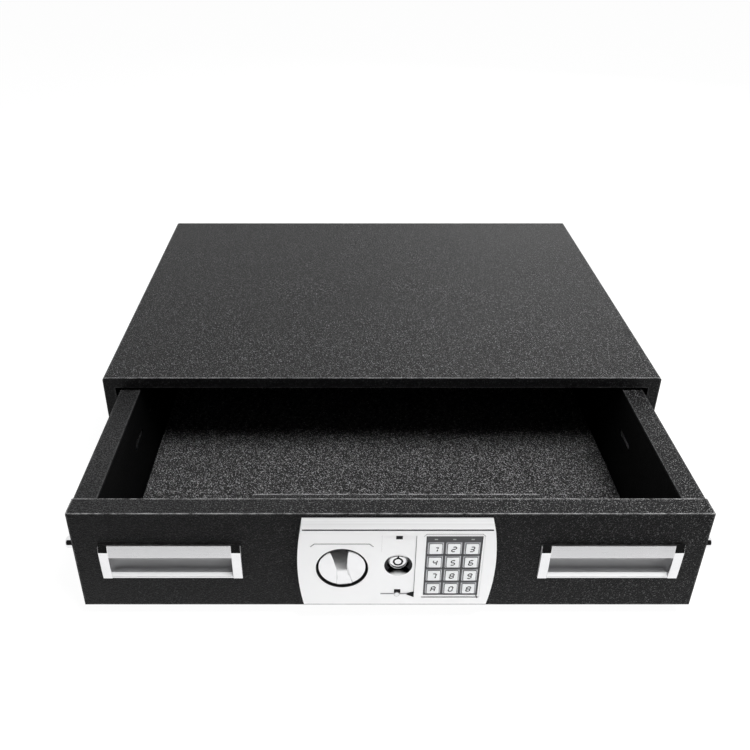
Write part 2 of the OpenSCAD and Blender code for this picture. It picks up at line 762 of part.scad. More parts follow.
module keypad_plate() {
    color([0.28, 0.28, 0.30]) in_drawer() difference() {
        block(pad_x - pad_w / 2, pad_x + pad_w / 2, pad_y, pad_y + pad_t,
            pad_z - pad_h / 2, pad_z + pad_h / 2);
        for (c = [-1:1], r = [0:3])
            translate([pad_x + c * key_pitch, 0, key_top_z - r * key_pitch])
                block(-key_w / 2 - key_gap, key_w / 2 + key_gap, pad_y - eps, pad_y + pad_t + eps,
                    -key_w / 2 - key_gap, key_w / 2 + key_gap);
        for (c = [-1:1])
            block(pad_x + c * key_pitch - lens_w / 2 - run_fit,
                pad_x + c * key_pitch + lens_w / 2 + run_fit,
                pad_y - eps, pad_y + pad_t + eps,
                pad_z1 - lens_drop - lens_h / 2 - run_fit, pad_z1 - lens_drop + lens_h / 2 + run_fit);
    }
}

module indicator_lenses() {
    color([0.75, 0.78, 0.76]) in_drawer() for (c = [-1:1])
        block(pad_x + c * key_pitch - lens_w / 2, pad_x + c * key_pitch + lens_w / 2,
            pad_y - 0.2, pad_y + pad_t + 0.4,
            pad_z1 - lens_drop - lens_h / 2, pad_z1 - lens_drop + lens_h / 2);
}

module keypad_board() {
    color([0.10, 0.30, 0.18]) in_drawer()
        block(pad_x - board_w / 2, pad_x + board_w / 2, board_y, board_y + board_t,
            pad_z - board_h / 2, pad_z + board_h / 2);
}

// One key: column c from -1 to 1, row r from 0 at the top to 3
module key_cap(c, r) {
    y0 = pad_y - key_proud;
    flange_y = pad_y + pad_t + 0.2;
    color([0.86, 0.87, 0.88]) in_drawer()
        translate([pad_x + c * key_pitch, 0, key_top_z - r * key_pitch]) difference() {
            union() {
                prism(y0, flange_y) polygon(rounded(key_w, key_w, key_corner));
                block(-key_w / 2 - key_flange, key_w / 2 + key_flange, flange_y, flange_y + key_flange_t,
                    -key_w / 2 - key_flange, key_w / 2 + key_flange);
            }
            // Bevelled edges round the raised face
            for (a = [0, 90, 180, 270]) rotate([0, a, 0]) translate([0, y0, key_w / 2 - key_bevel])
                rotate([-30, 0, 0]) translate([-key_w, -key_w, 0]) cube([2 * key_w, key_w, key_w]);
        }
}

module key_1() {
    key_cap(-1, 0);
}

module key_2() {
    key_cap(0, 0);
}

module key_3() {
    key_cap(1, 0);
}

module key_4() {
    key_cap(-1, 1);
}

module key_5() {
    key_cap(0, 1);
}

module key_6() {
    key_cap(1, 1);
}

module key_7() {
    key_cap(-1, 2);
}

module key_8() {
    key_cap(0, 2);
}

module key_9() {
    key_cap(1, 2);
}

module key_a() {
    key_cap(-1, 3);
}

module key_0() {
    key_cap(0, 3);
}

module key_b() {
    key_cap(1, 3);
}

// Hourglass outline of the knob's ridge
module ridge_outline() {
    n = 8;
    flare = ridge_end - ridge_waist;
    right = [for (i = [-n:n]) [ridge_waist + flare * pow(i / n, 2), knob_r * i / n]];
    left = [for (i = [n:-1:-n]) [-ridge_waist - flare * pow(i / n, 2), knob_r * i / n]];
    polygon(concat(right, left));
}

module knob() {
    y0 = -panel_d + knob_face;
    color([0.85, 0.85, 0.86]) in_drawer() translate([knob_x, 0, knob_z]) rotate([0, -knob_tilt, 0])
        difference() {
            union() {
                rod(0, 0, y0, y0 + knob_t, knob_r);
                intersection() {
                    prism(y0 - ridge_rise, y0 + knob_t / 2) ridge_outline();
                    rod(0, 0, y0 - ridge_rise, y0 + knob_t / 2, knob_r - 0.3);
                    axle(y0 - ridge_rise + ridge_r, 0, -knob_r, knob_r, ridge_r);
                }
            }
            rod(0, 0, y0 + knob_t - 3.5, y0 + knob_t + eps, spindle_r + run_fit / 2);
        }
}

module knob_spindle() {
    y0 = -panel_d + knob_face + knob_t - 3.5;
    color([0.70, 0.70, 0.72]) in_drawer() {
        rod(knob_x, knob_z, y0, crank_y, spindle_r);
        rod(knob_x, knob_z, crank_y, crank_y + crank_t, tail_r);
    }
}

module spindle_bush() {
    r = spindle_r + 3;
    color([0.90, 0.90, 0.88]) in_drawer() difference() {
        union() {
            rod(knob_x, knob_z, 0, front_t + 5.5, r);
            rod(knob_x, knob_z, front_t, front_t + 2, r + 3);
        }
        rod(knob_x, knob_z, -eps, front_t + 5.5 + eps, spindle_r + run_fit);
    }
}

module crank_disc() {
    color([0.74, 0.74, 0.70]) in_drawer() difference() {
        union() {
            rod(knob_x, knob_z, crank_y, crank_y + crank_t, crank_r);
            for (s = [-1, 1])
                rod(knob_x - s * crank_off, knob_z + s * crank_off,
                    crank_y + crank_t / 2, bar_y + bar_t + 0.3, pin_r);
        }
        rod(knob_x, knob_z, crank_y - eps, crank_y + crank_t + eps, tail_r + run_fit / 2);
    }
}

// A thrown bolt on the right-hand side
module bolt() {
    axle(bolt_y, bolt_z, bolt_x, tip_x - bolt_end, bolt_r);
    translate([tip_x - bolt_end, bolt_y, bolt_z]) rotate([0, 90, 0])
        cylinder(r1 = bolt_r, r2 = bolt_r - bolt_end, h = bolt_end);
    axle(bolt_y, bolt_z, bolt_x - tab_t, bolt_x, bolt_r / 2);
}

module bolt_left() {
    color([0.82, 0.83, 0.85]) in_drawer() side(-1) bolt();
}

module bolt_right() {
    color([0.82, 0.83, 0.85]) in_drawer() side(1) bolt();
}

// The upturned tab that carries the bolt on the right-hand side
module bolt_tab() {
    difference() {
        block(bolt_x - tab_t, bolt_x, bolt_y - bolt_r, bar_y + bar_t, bolt_z - bolt_r, bolt_z + bolt_r);
        axle(bolt_y, bolt_z, bolt_x - tab_t - eps, bolt_x + eps, bolt_r / 2 + run_fit / 2);
    }
}

// The upright slot in a bar that a crank pin runs in
module pin_slot(x, z0, z1) {
    block(x - pin_slot_w / 2, x + pin_slot_w / 2, bar_y - eps, bar_y + bar_t + eps, z0, z1);
}

module drive_bar_left() {
    color([0.74, 0.74, 0.70]) in_drawer() {
        side(-1) bolt_tab();
        difference() {
            union() {
                block(tab_t - bolt_x, bar_inner_left, bar_y, bar_y + bar_t, bar_z0, bar_z1);
                block(bar_inner_left - 20, bar_inner_left, bar_y, bar_y + bar_t, knob_z + 1, bar_z1);
            }
            pin_slot(knob_x - crank_off, knob_z + pin_slot_z0, knob_z + pin_slot_z1);
        }
    }
}

module drive_bar_right() {
    color([0.74, 0.74, 0.70]) in_drawer() {
        bolt_tab();
        difference() {
            union() {
                block(bar_inner_right, bolt_x - tab_t, bar_y, bar_y + bar_t, bar_z0, bar_z1);
                block(bar_inner_right, bar_inner_right + 10, bar_y, bar_y + bar_t, knob_z - 11.5, bar_z1);
                block(knob_x - 13.3, bar_inner_right + 10, bar_y, bar_y + bar_t,
                    knob_z - 11.5, knob_z - 1);
            }
            pin_slot(knob_x + crank_off, knob_z - pin_slot_z1, knob_z - pin_slot_z0);
            // Two notches for the plunger: bolts thrown, and bolts drawn back
            for (x = [plunger_x, plunger_x + bolt_travel])
                block(x - plunger_r - 0.5, x + plunger_r + 0.5, bar_y - eps, bar_y + bar_t + eps,
                    bar_z0 - eps, bar_z0 + notch_d);
        }
    }
}

module bolt_bushes() {
    x = front_w / 2 - front_t;
    color([0.90, 0.90, 0.88]) in_drawer() both_sides() difference() {
        union() {
            axle(bolt_y, bolt_z, x - bush_l, x, bush_flange_r);
            axle(bolt_y, bolt_z, x, front_w / 2, bush_r);
        }
        axle(bolt_y, bolt_z, x - bush_l - eps, front_w / 2 + eps, bolt_r + run_fit);
    }
}

module bar_guides() {
    color([0.74, 0.74, 0.70]) in_drawer() both_sides() difference() {
        block(guide_x - guide_w / 2, guide_x + guide_w / 2, bar_y - slide_fit - 1.5, closing_y,
            bar_z0 - slide_fit - guide_rim, bar_z1 + slide_fit + guide_rim);
        block(guide_x - guide_w, guide_x + guide_w, bar_y - slide_fit, bar_y + bar_t + slide_fit,
            bar_z0 - slide_fit, bar_z1 + slide_fit);
    }
}

module lock_barrel() {
    color([0.80, 0.80, 0.82]) in_drawer() difference() {
        union() {
            rod(lock_x, lock_z, -lock_face, barrel_y1, lock_r);
            rod(lock_x, lock_z, -frame_t, 0, lock_flange_r);
        }
        rod(lock_x, lock_z, -lock_face - eps, barrel_y1 + eps, plug_r + run_fit);
        block(lock_x - 0.8, lock_x + 0.8, -lock_face - eps, -lock_face + 2, lock_z, lock_z + 6.2);
    }
}

module lock_nut() {
    color([0.78, 0.78, 0.76]) in_drawer() difference() {
        translate([lock_x, front_t, lock_z]) rotate([-90, 0, 0])
            cylinder(r = lock_r + 3.2, h = 3.5, $fn = 6);
        rod(lock_x, lock_z, front_t - eps, front_t + 3.5 + eps, lock_r + run_fit / 2);
    }
}

module key_plug() {
    color([0.86, 0.86, 0.88]) in_drawer() {
        rod(lock_x, lock_z, -lock_face, 2.6, post_in_r);
        rod(lock_x, lock_z, 2.6, barrel_y1, plug_r);
        rod(lock_x, lock_z, barrel_y1, barrel_y1 + cam_t, post_in_r);
        rod(lock_x, lock_z, barrel_y1 + cam_t, barrel_y1 + cam_t + 1.2, plug_r);
    }
}

module lock_cam() {
    color([0.76, 0.76, 0.72]) in_drawer() difference() {
        union() {
            rod(lock_x, lock_z, barrel_y1, barrel_y1 + cam_t, cam_w / 2 + 1);
            block(lock_x, lock_x + cam_l, barrel_y1, barrel_y1 + cam_t,
                lock_z - cam_w / 2, lock_z + cam_w / 2);
        }
        rod(lock_x, lock_z, barrel_y1 - eps, barrel_y1 + cam_t + eps, post_in_r + run_fit / 2);
    }
}

module solenoid_body() {
    y0 = plunger_y - solenoid_d / 2;
    color([0.35, 0.36, 0.38]) in_drawer() difference() {
        union() {
            block(plunger_x - solenoid_w / 2, plunger_x + solenoid_w / 2, y0, y0 + solenoid_d,
                solenoid_z0, solenoid_z1);
            block(plunger_x - solenoid_w / 2, plunger_x + solenoid_w / 2, front_t, y0,
                solenoid_z0, solenoid_z0 + solenoid_foot);
        }
        translate([plunger_x, plunger_y, solenoid_z0 + core_floor])
            cylinder(r = plunger_r + run_fit, h = solenoid_z1 - solenoid_z0);
    }
}

module solenoid_plunger() {
    color([0.78, 0.78, 0.80]) in_drawer() translate([plunger_x, plunger_y, 0]) {
        translate([0, 0, plunger_z0]) cylinder(r = plunger_r, h = bar_z0 - plunger_gap - plunger_z0);
        translate([0, 0, collar_z1 - collar_t]) cylinder(r = collar_r, h = collar_t);
    }
}

module plunger_spring() {
    color([0.70, 0.70, 0.72]) in_drawer() translate([plunger_x, plunger_y, solenoid_z1]) difference() {
        cylinder(r = plunger_r + 1.6, h = spring_l);
        translate([0, 0, -eps]) cylinder(r = plunger_r + 0.6, h = spring_l + 2 * eps);
    }
}

module control_board() {
    x = control_x;
    z = control_z;
    color([0.10, 0.30, 0.18]) in_drawer() {
        block(x - control_w / 2, x + control_w / 2, control_y, control_y + board_t,
            z - control_h / 2, z + control_h / 2);
        block(x - chip_w / 2, x + chip_w / 2, control_y - chip_t, control_y,
            z - chip_w / 2, z + chip_w / 2);
        for (at = [[plug_low_x, plug_low_z], [plug_high_x, plug_high_z]])
            block(at[0] - plug_w / 2, at[0] + plug_w / 2, control_y - plug_d, control_y,
                at[1] - plug_h / 2, at[1] + plug_h / 2);
    }
}

module battery_holder() {
    y0 = holder_y1 - holder_d;
    color([0.12, 0.12, 0.12]) in_drawer() {
        difference() {
            block(holder_x0, holder_x0 + holder_l, y0, holder_y1, holder_z0, holder_z0 + holder_h);
            block(holder_x0 + holder_t, holder_x0 + holder_l - holder_t, y0 + holder_t, holder_y1 + eps,
                holder_z0 + holder_t, holder_z0 + holder_h - holder_t);
        }
        for (x = [holder_x0, holder_x0 + holder_l - holder_t])
            block(x, x + holder_t, holder_y1 - 3, cover_in_y, holder_z0 + holder_h - 4,
                holder_z0 + holder_h);
    }
}

module batteries() {
    y = holder_y1 - holder_d + holder_t + cell_r + 0.1;
    color([0.80, 0.62, 0.35]) in_drawer() for (i = [0, 1], row = [0, 1]) {
        x = holder_x0 + holder_t + 0.5 + i * (cell_l + 1.2);
        z = holder_z0 + holder_t + cell_r + 0.1 + row * (2 * cell_r + 0.3);
        axle(y, z, x, x + cell_l - 1.2, cell_r);
        axle(y, z, x + cell_l - 1.2, x + cell_l, 2.7);
    }
}

module battery_door() {
    y1 = front_d + cover_d - 0.2;
    color([0.10, 0.10, 0.10]) in_drawer() {
        block(door_x - door_w / 2, door_x + door_w / 2, y1 - door_t, y1, door_z0, door_z0 + door_h);
        axle(door_pin_y, door_z0 + door_axis_up, door_x - door_w / 2 - 2, door_x + door_w / 2 + 2,
            door_pin_r);
        block(door_x - 6, door_x + 6, y1, y1 + 0.8, door_z0 + door_h - 5, door_z0 + door_h - 3.6);
    }
}

module reset_button() {
    y1 = front_d + cover_d + reset_proud;
    color([0.62, 0.08, 0.08]) in_drawer() {
        rod(reset_x, reset_z, cover_in_y - 0.1, y1, reset_r);
        rod(reset_x, reset_z, cover_in_y - 1.1, cover_in_y - 0.1, reset_flange_r);
    }
}

// A wire of straight runs with round elbows through the given points
module wire(points, r) {
    for (i = [0:len(points) - 2]) {
        a = points[i];
        d = points[i + 1] - a;
        translate(a) rotate([0, acos(d[2] / norm(d)), atan2(d[1], d[0])]) cylinder(r = r, h = norm(d));
        if (i > 0) translate(a) sphere(r = r);
    }
}

module wire_harness() {
    run_y = control_y - plug_d / 2;
    color([0.60, 0.10, 0.10]) in_drawer() {
        wire([[plug_low_x + plug_w / 2, run_y, plug_low_z], [coil_x, run_y, plug_low_z],
            [coil_x, run_y, solenoid_z0 + solenoid_foot],
            [plunger_x - solenoid_w / 2, run_y, solenoid_z0 + solenoid_foot]], wire_r);
        wire([[pad_x, board_y + board_t, wire_hole_z], [pad_x, lead_y, wire_hole_z],
            [plug_low_x, lead_y, wire_hole_z], [plug_low_x, run_y, wire_hole_z],
            [plug_low_x, run_y, plug_low_z - plug_h / 2]], wire_r);
        wire([[plug_high_x, run_y, plug_high_z + plug_h / 2], [plug_high_x, run_y, lead_z],
            [holder_lead_x, run_y, lead_z], [holder_lead_x, run_y, holder_z0 + holder_h]], wire_r);
    }
}

cabinet_shell();
cabinet_back();
slide_brackets();
slide_outer_members();
cabinet_slide_screws();
slide_middle_members();
ball_retainers_outer();
ball_retainers_inner();
drawer_tray();
drawer_front();
front_closing_plate();
lock_cover();
lock_cover_screws();
carpet_mat();
slide_inner_members();
drawer_slide_screws();
handle_cup_left();
handle_cup_right();
handle_grip_left();
handle_grip_right();
handle_end_caps();
lock_panel();
keypad_plate();
keypad_board();
indicator_lenses();
key_1();
key_2();
key_3();
key_4();
key_5();
key_6();
key_7();
key_8();
key_9();
key_a();
key_0();
key_b();
knob();
knob_spindle();
spindle_bush();
crank_disc();
bolt_left();
drive_bar_left();
bolt_right();
drive_bar_right();
bolt_bushes();
bar_guides();
lock_barrel();
lock_nut();
key_plug();
lock_cam();
solenoid_body();
solenoid_plunger();
plunger_spring();
control_board();
battery_holder();
batteries();
battery_door();
reset_button();
wire_harness();
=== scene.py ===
"""Dressed scene of an under-bed drawer safe.

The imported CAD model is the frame. Each sub-assembly is a class that builds its
fine pieces and dresses its CAD nodes, and each finish is a class that builds one
procedural material. All lengths are metres in the model's own frame, unless a
class says millimetres: X across the safe, Y from its front to its back, Z up.
"""
from __future__ import annotations

import logging
import math
from dataclasses import astuple, dataclass
from enum import Enum
from typing import Sequence, Union

import bmesh
import bpy
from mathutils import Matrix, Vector, noise

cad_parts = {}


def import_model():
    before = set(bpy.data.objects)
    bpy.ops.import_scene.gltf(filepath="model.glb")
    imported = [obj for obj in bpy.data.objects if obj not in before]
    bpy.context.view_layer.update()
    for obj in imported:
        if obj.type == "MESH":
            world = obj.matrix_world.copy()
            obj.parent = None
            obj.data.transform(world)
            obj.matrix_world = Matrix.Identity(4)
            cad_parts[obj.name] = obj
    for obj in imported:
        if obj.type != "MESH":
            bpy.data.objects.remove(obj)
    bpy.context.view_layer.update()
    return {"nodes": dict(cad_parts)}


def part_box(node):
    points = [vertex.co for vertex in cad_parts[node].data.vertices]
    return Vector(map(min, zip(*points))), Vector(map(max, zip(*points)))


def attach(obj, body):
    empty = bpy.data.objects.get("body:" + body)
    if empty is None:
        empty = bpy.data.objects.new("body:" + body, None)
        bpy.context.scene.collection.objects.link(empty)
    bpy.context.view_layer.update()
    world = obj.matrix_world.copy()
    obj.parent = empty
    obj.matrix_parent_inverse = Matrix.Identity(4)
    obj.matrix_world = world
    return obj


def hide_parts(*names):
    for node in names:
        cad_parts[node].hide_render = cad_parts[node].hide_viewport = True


LOG = logging.getLogger("safe")
MM = 0.001
FACE = -458.0  # the drawer front's face in Y, in millimetres, with the drawer where the photograph has it
SAME_CORNER = 1e-7  # distance under which two corners of a fine piece are one
SAME_CAD_CORNER = 1e-6  # the same for the loose triangles of a CAD node
FLAT = 0.3  # degrees under which two CAD triangles are one face
SHARP = 40.0  # degrees over which a CAD edge is softened

Row = tuple[float, ...]
Pair = tuple[float, float]
Point = tuple[float, float, float]
Colour = tuple[float, float, float, float]
Socket = bpy.types.NodeSocket
Value = Union[Socket, float]
Object = bpy.types.Object


def tint(value: float, blue: float | None = None) -> Colour:
    """A neutral colour of that linear brightness, or one with a blue of its own."""
    return (value, value, value if blue is None else blue, 1.0)


def shade(colour: Colour, factor: float) -> Colour:
    """The colour, darker or lighter by a factor."""
    return (*(part * factor for part in colour[:3]), 1.0)


# node graphs


class Graph:
    """Adds nodes to a node tree, sets their sockets and links them."""

    def __init__(self, tree: bpy.types.NodeTree, effects: Effects | None = None) -> None:
        """Takes the tree and, for a material, the source of its shared groups."""
        self.tree = tree
        self.effects = effects

    def node(self, kind: str, inputs: dict | None = None, **settings: object) -> bpy.types.Node:
        """Adds one node.

        Args:
            kind: The node's type name.
            inputs: Values or output sockets, by input name or number.
            **settings: Attributes of the node, set before its inputs.

        Returns:
            The new node.
        """
        made = self.tree.nodes.new(kind)
        for name, value in settings.items():
            setattr(made, name, value)
        for name, value in (inputs or {}).items():
            self.feed(made.inputs[name], value)
        return made

    def feed(self, socket: Socket, value: Value | Colour) -> None:
        """Links an output socket to an input, or sets the input's own value.

        Args:
            socket: The input.
            value: An output socket, or a value of the input's kind.
        """
        if isinstance(value, Socket):
            self.tree.links.new(value, socket)
        else:
            socket.default_value = value

    def out(self, kind: str, inputs: dict | None = None, **settings: object) -> Socket:
        """Adds one node, as node() does, and returns its first output."""
        return self.node(kind, inputs, **settings).outputs[0]

    def math(self, operation: str, a: Value, b: Value = 0.0, clamp: bool = False) -> Socket:
        """Adds a Math node and returns its output."""
        return self.out("ShaderNodeMath", {0: a, 1: b}, operation=operation, use_clamp=clamp)

    def plus(self, a: Value, b: Value) -> Socket:
        """The sum of two values."""
        return self.math("ADD", a, b)

    def less(self, value: Value, clamp: bool = False) -> Socket:
        """One minus the value."""
        return self.math("SUBTRACT", 1.0, value, clamp)

    def times(self, first: Value, *others: Value, clamp: bool = False) -> Socket:
        """The product of two or more values.

        Args:
            first: The value to start from.
            *others: What it is multiplied by, in order.
            clamp: Whether each product is held between nought and one.

        Returns:
            The product.
        """
        for other in others:
            first = self.math("MULTIPLY", first, other, clamp)
        return first

    def span(self, value: Value, low: Value = 0.0, high: Value = 1.0, start: float = 0.0,
             end: float = 1.0) -> Socket:
        """Maps low to start and high to end, even between them and held beyond."""
        return self.out("ShaderNodeMapRange", {"Value": value, "From Min": low, "From Max": high,
                                               "To Min": start, "To Max": end})

    def mix(self, factor: Value, a: Socket | Colour, b: Socket | Colour) -> Socket:
        """Mixes two colours and returns the result."""
        return self.node("ShaderNodeMix", {0: factor, 6: a, 7: b}, data_type="RGBA").outputs[2]

    def place(self) -> Socket:
        """The point's place on the piece, in Object coordinates."""
        return self.node("ShaderNodeTexCoord").outputs["Object"]

    def parts(self, vector: Socket) -> Sequence[Socket]:
        """X, Y and Z of a vector, by name or in order."""
        return self.node("ShaderNodeSeparateXYZ", {0: vector}).outputs

    def up(self, z: Value) -> Socket:
        """A vector along Z."""
        return self.out("ShaderNodeCombineXYZ", {2: z})

    def noise(self, place: Socket, scale: Value, detail: float, rough: float, twist: float = 0.0) -> Socket:
        """Adds a noise texture and returns its value."""
        return self.out("ShaderNodeTexNoise", {"Vector": place, "Scale": scale, "Detail": detail,
                                               "Roughness": rough, "Distortion": twist})

    def bump(self, height: Socket, distance: float, strength: float = 1.0) -> Socket:
        """Turns a height into a normal."""
        return self.out("ShaderNodeBump", {"Height": height, "Distance": distance, "Strength": strength})

    def effect(self, effect: Effect, **inputs: float) -> Sequence[Socket]:
        """Places a shared group with its own values and returns its outputs."""
        return self.node("ShaderNodeGroup", inputs, node_tree=self.effects.get(effect)).outputs

    def patches(self, scale: float) -> Socket:
        """Soft patches, so many to the metre."""
        return self.effect(Effect.SMUDGE, Scale=scale)["Patches"]


class Effect(Enum):
    """Shared node groups, which put out values only: name, inputs with their defaults, outputs."""

    GRAIN = ("grain_height", {"Scale": 600.0, "Low": 0.55, "Width": 0.12}, ("Height", "Tops"))
    BRUSH = ("brush_lines", {"Scale": 1.0}, ("Lines",))
    SMUDGE = ("smudges", {"Scale": 14.0}, ("Patches",))
    EDGE = ("edge_mask", {"Radius": 0.0008}, ("Mask",))


class Effects:
    """Builds the shared node groups once and hands them out."""

    def __init__(self) -> None:
        """Lists how each group is filled; none is made yet."""
        self._made: dict[Effect, bpy.types.NodeTree] = {}
        self._fillers = {Effect.GRAIN: self._grain, Effect.BRUSH: self._brush,
                         Effect.SMUDGE: self._smudge, Effect.EDGE: self._edge}

    def get(self, effect: Effect) -> bpy.types.NodeTree:
        """Hands out a group, and builds it the first time.

        Args:
            effect: Which group.

        Returns:
            Its node tree.
        """
        if effect not in self._made:
            name, inputs, outputs = effect.value
            tree = bpy.data.node_groups.new(name, "ShaderNodeTree")
            for title, value in inputs.items():
                made = tree.interface.new_socket(title, in_out="INPUT", socket_type="NodeSocketFloat")
                made.default_value = value
            for title in outputs:
                tree.interface.new_socket(title, in_out="OUTPUT", socket_type="NodeSocketFloat")
            g = Graph(tree)
            filled = self._fillers[effect](g, g.node("NodeGroupInput").outputs)
            g.node("NodeGroupOutput", filled)
            self._made[effect] = tree
        return self._made[effect]

    @staticmethod
    def _grain(g: Graph, given: Sequence[Socket]) -> dict[str, Socket]:
        """Pebbled grain.

        Args:
            g: The group's graph.
            given: The group's inputs, by name.

        Returns:
            Its height, and the tops of its pebbles as a mask.
        """
        place = g.place()
        broad = g.noise(place, given["Scale"], detail=1.5, rough=0.55)
        fine = g.node("ShaderNodeTexVoronoi", {"Vector": place, "Scale": g.times(given["Scale"], 1.35)})
        pebble = g.less(fine.outputs["Distance"])
        height = g.plus(g.times(broad, 0.65), g.times(pebble, 0.35))
        return {"Height": height, "Tops": g.span(height, given["Low"], g.plus(given["Low"], given["Width"]))}

    @staticmethod
    def _brush(g: Graph, given: Sequence[Socket]) -> dict[str, Socket]:
        """Fine parallel lines along X, as a brushed sheet has them."""
        drawn = g.out("ShaderNodeMapping", {"Vector": g.place(), "Scale": (14.0, 3200.0, 3200.0)})
        return {"Lines": g.noise(drawn, given["Scale"], detail=2.0, rough=0.6)}

    @staticmethod
    def _smudge(g: Graph, given: Sequence[Socket]) -> dict[str, Socket]:
        """Soft patches, for a gloss and a colour that vary."""
        return {"Patches": g.noise(g.place(), given["Scale"], detail=4.0, rough=0.65, twist=0.4)}

    @staticmethod
    def _edge(g: Graph, given: Sequence[Socket]) -> dict[str, Socket]:
        """Sharp edges, broken up by noise.

        Args:
            g: The group's graph.
            given: The group's inputs, by name.

        Returns:
            One near a sharp edge, nought on flat ground.
        """
        rounded = g.out("ShaderNodeBevel", {"Radius": given["Radius"]}, samples=4)
        flat = g.node("ShaderNodeNewGeometry").outputs["Normal"]
        along = g.node("ShaderNodeVectorMath", {0: rounded, 1: flat}, operation="DOT_PRODUCT")
        bare = g.span(along.outputs["Value"], 0.985, 0.84)
        kept = g.span(g.noise(g.place(), 90.0, detail=3.0, rough=0.7), 0.32, 0.6)
        return {"Mask": g.times(bare, kept, clamp=True)}


# finishes


@dataclass(frozen=True)
class Finish:
    """A named material, built once from nodes."""

    name: str
    colour: Colour
    roughness: float = 0.4  # its mean
    sway: Pair = (0.06, 0.08)  # how far the roughness goes below and above its mean
    smudges: float = 26.0  # soft patches per metre

    def build(self, effects: Effects) -> bpy.types.Material:
        """Builds the material.

        Args:
            effects: Source of the shared node groups.

        Returns:
            The new material.
        """
        material = bpy.data.materials.new(self.name)
        material.use_nodes = True
        material.node_tree.nodes.clear()
        g = Graph(material.node_tree, effects)
        g.node("ShaderNodeOutputMaterial", {"Surface": g.out("ShaderNodeBsdfPrincipled", self.dress(g))})
        material.diffuse_color = self.colour
        return material

    def dress(self, g: Graph) -> dict[str, Value]:
        """Gives the shader's inputs by name. Each kind of finish has its own."""
        raise NotImplementedError

    def varied(self, g: Graph, value: Value) -> Socket:
        """The roughness, which rises with the value."""
        return g.span(value, start=self.roughness - self.sway[0], end=self.roughness + self.sway[1])


@dataclass(frozen=True)
class PowderCoat(Finish):
    """Pebbled black powder coat on sheet steel. Its bright pebble tops are painted glints of light: more of
    them to the right and in front, fewer on upright faces.
    """

    sway: Pair = (0.07, 0.09)
    smudges: float = 9.0
    grain: float = 700.0  # pebbles per metre
    depth: float = 0.0011  # height of the pebbles
    tip: Colour = tint(0.36, 0.364)  # the pebbles' tops, painted bright as glints of light on the grain
    low: float = 0.588  # height at which a top starts
    fill: Colour = tint(0.055, 0.056)  # the even grain where bright tops are few
    sides: Pair = (-0.27, 0.30)  # where the share of bright tops starts and ends to change, in X: painted light that falls from the right
    left: float = 0.10  # their share on the left
    right: float = 1.3
    ends: Pair = (0.2, -0.22)  # the same in Y: painted light that is stronger in front
    far: float = 0.45  # their share at the back
    near: float = 1.15
    upright: float = 0.22  # share of the bright tops on upright faces: painted light, as if it falls from above
    edge_wear_and_highlight: Colour = tint(0.80, 0.805)  # edges lightened for wear and as a painted highlight
    edge: float = 0.0030  # width of those lightened edges
    gloss: float = 0.14  # strength of the reflection
    painted_shade_below: float = 0.0  # height under which the coat is painted darker and matt, as the shade inside the tray, or nought
    painted_shade_fade: float = 0.004  # height over which that painted shade fades out

    def dress(self, g: Graph) -> dict[str, Value]:
        """Speckled colour with painted glints, varied gloss, pebbled relief, and edges lightened for wear and
        as a painted highlight.

        Args:
            g: The material's graph.

        Returns:
            The shader's inputs, by name.
        """
        grain = g.effect(Effect.GRAIN, Scale=self.grain, Low=self.low, Width=0.07)
        patches = g.patches(self.smudges)
        edge = g.effect(Effect.EDGE, Radius=self.edge)["Mask"]
        facing = g.parts(g.node("ShaderNodeNewGeometry").outputs["True Normal"])
        # painted light: faces that look up get more bright tops and brighter edges, as if lit from above
        painted_top_light = g.span(facing["Z"], 0.1, 0.9, start=self.upright)
        amount = g.times(painted_top_light, g.span(patches, 0.35, 0.65, 0.6, 1.15))
        place = g.parts(g.place())
        # painted light: more bright tops to the right and in front, as if a lamp stands there
        painted_side_light = g.times(g.span(place["X"], *self.sides, self.left, self.right),
                        g.span(place["Y"], *self.ends, self.far, self.near))
        bright = g.times(grain["Tops"], amount, painted_side_light)
        soft = g.times(g.span(grain["Height"], 0.47, 0.56), amount, g.less(painted_side_light, clamp=True))
        speckled = g.mix(bright, g.mix(soft, self.colour, self.fill), self.tip)
        # edges lightened for wear and as a painted highlight, most on faces that look up
        colour = g.mix(g.times(edge, painted_top_light), speckled, self.edge_wear_and_highlight)
        rough = self.varied(g, patches)
        # painted shade: under that height the coat turns darker and matt, as the shade deep in the tray
        if self.painted_shade_below > 0.0:
            thick = g.span(place["Z"], self.painted_shade_below - self.painted_shade_fade, self.painted_shade_below)
            colour = g.mix(thick, shade(self.colour, 0.45), colour)
            rough = g.plus(rough, g.times(g.less(thick), 0.4))
        return {"Base Color": colour, "Roughness": rough, "Normal": g.bump(grain["Height"], self.depth),
                "Specular IOR Level": self.gloss}


@dataclass(frozen=True)
class BrushedMetal(Finish):
    """Brushed or drawn metal with fine lines along X."""

    sway: Pair = (0.1, 0.12)
    smudges: float = 22.0
    lines: float = 0.25  # how strongly the lines show
    relief: float = 0.00004  # depth of the lines
    edge: float = 0.0012  # width of the bright edges

    def dress(self, g: Graph) -> dict[str, Value]:
        """Lines in the roughness, colour and relief, and bright edges.

        Args:
            g: The material's graph.

        Returns:
            The shader's inputs, by name.
        """
        lines = g.effect(Effect.BRUSH)["Lines"]
        patches = g.patches(self.smudges)
        edge = g.effect(Effect.EDGE, Radius=self.edge)["Mask"]
        drawn = g.mix(lines, shade(self.colour, 1.0 - self.lines), self.colour)
        dulled = g.plus(g.times(lines, 0.6), g.times(patches, 0.4))
        return {"Base Color": g.mix(edge, drawn, tint(0.97)), "Roughness": self.varied(g, dulled),
                "Normal": g.bump(lines, self.relief), "Metallic": 1.0}


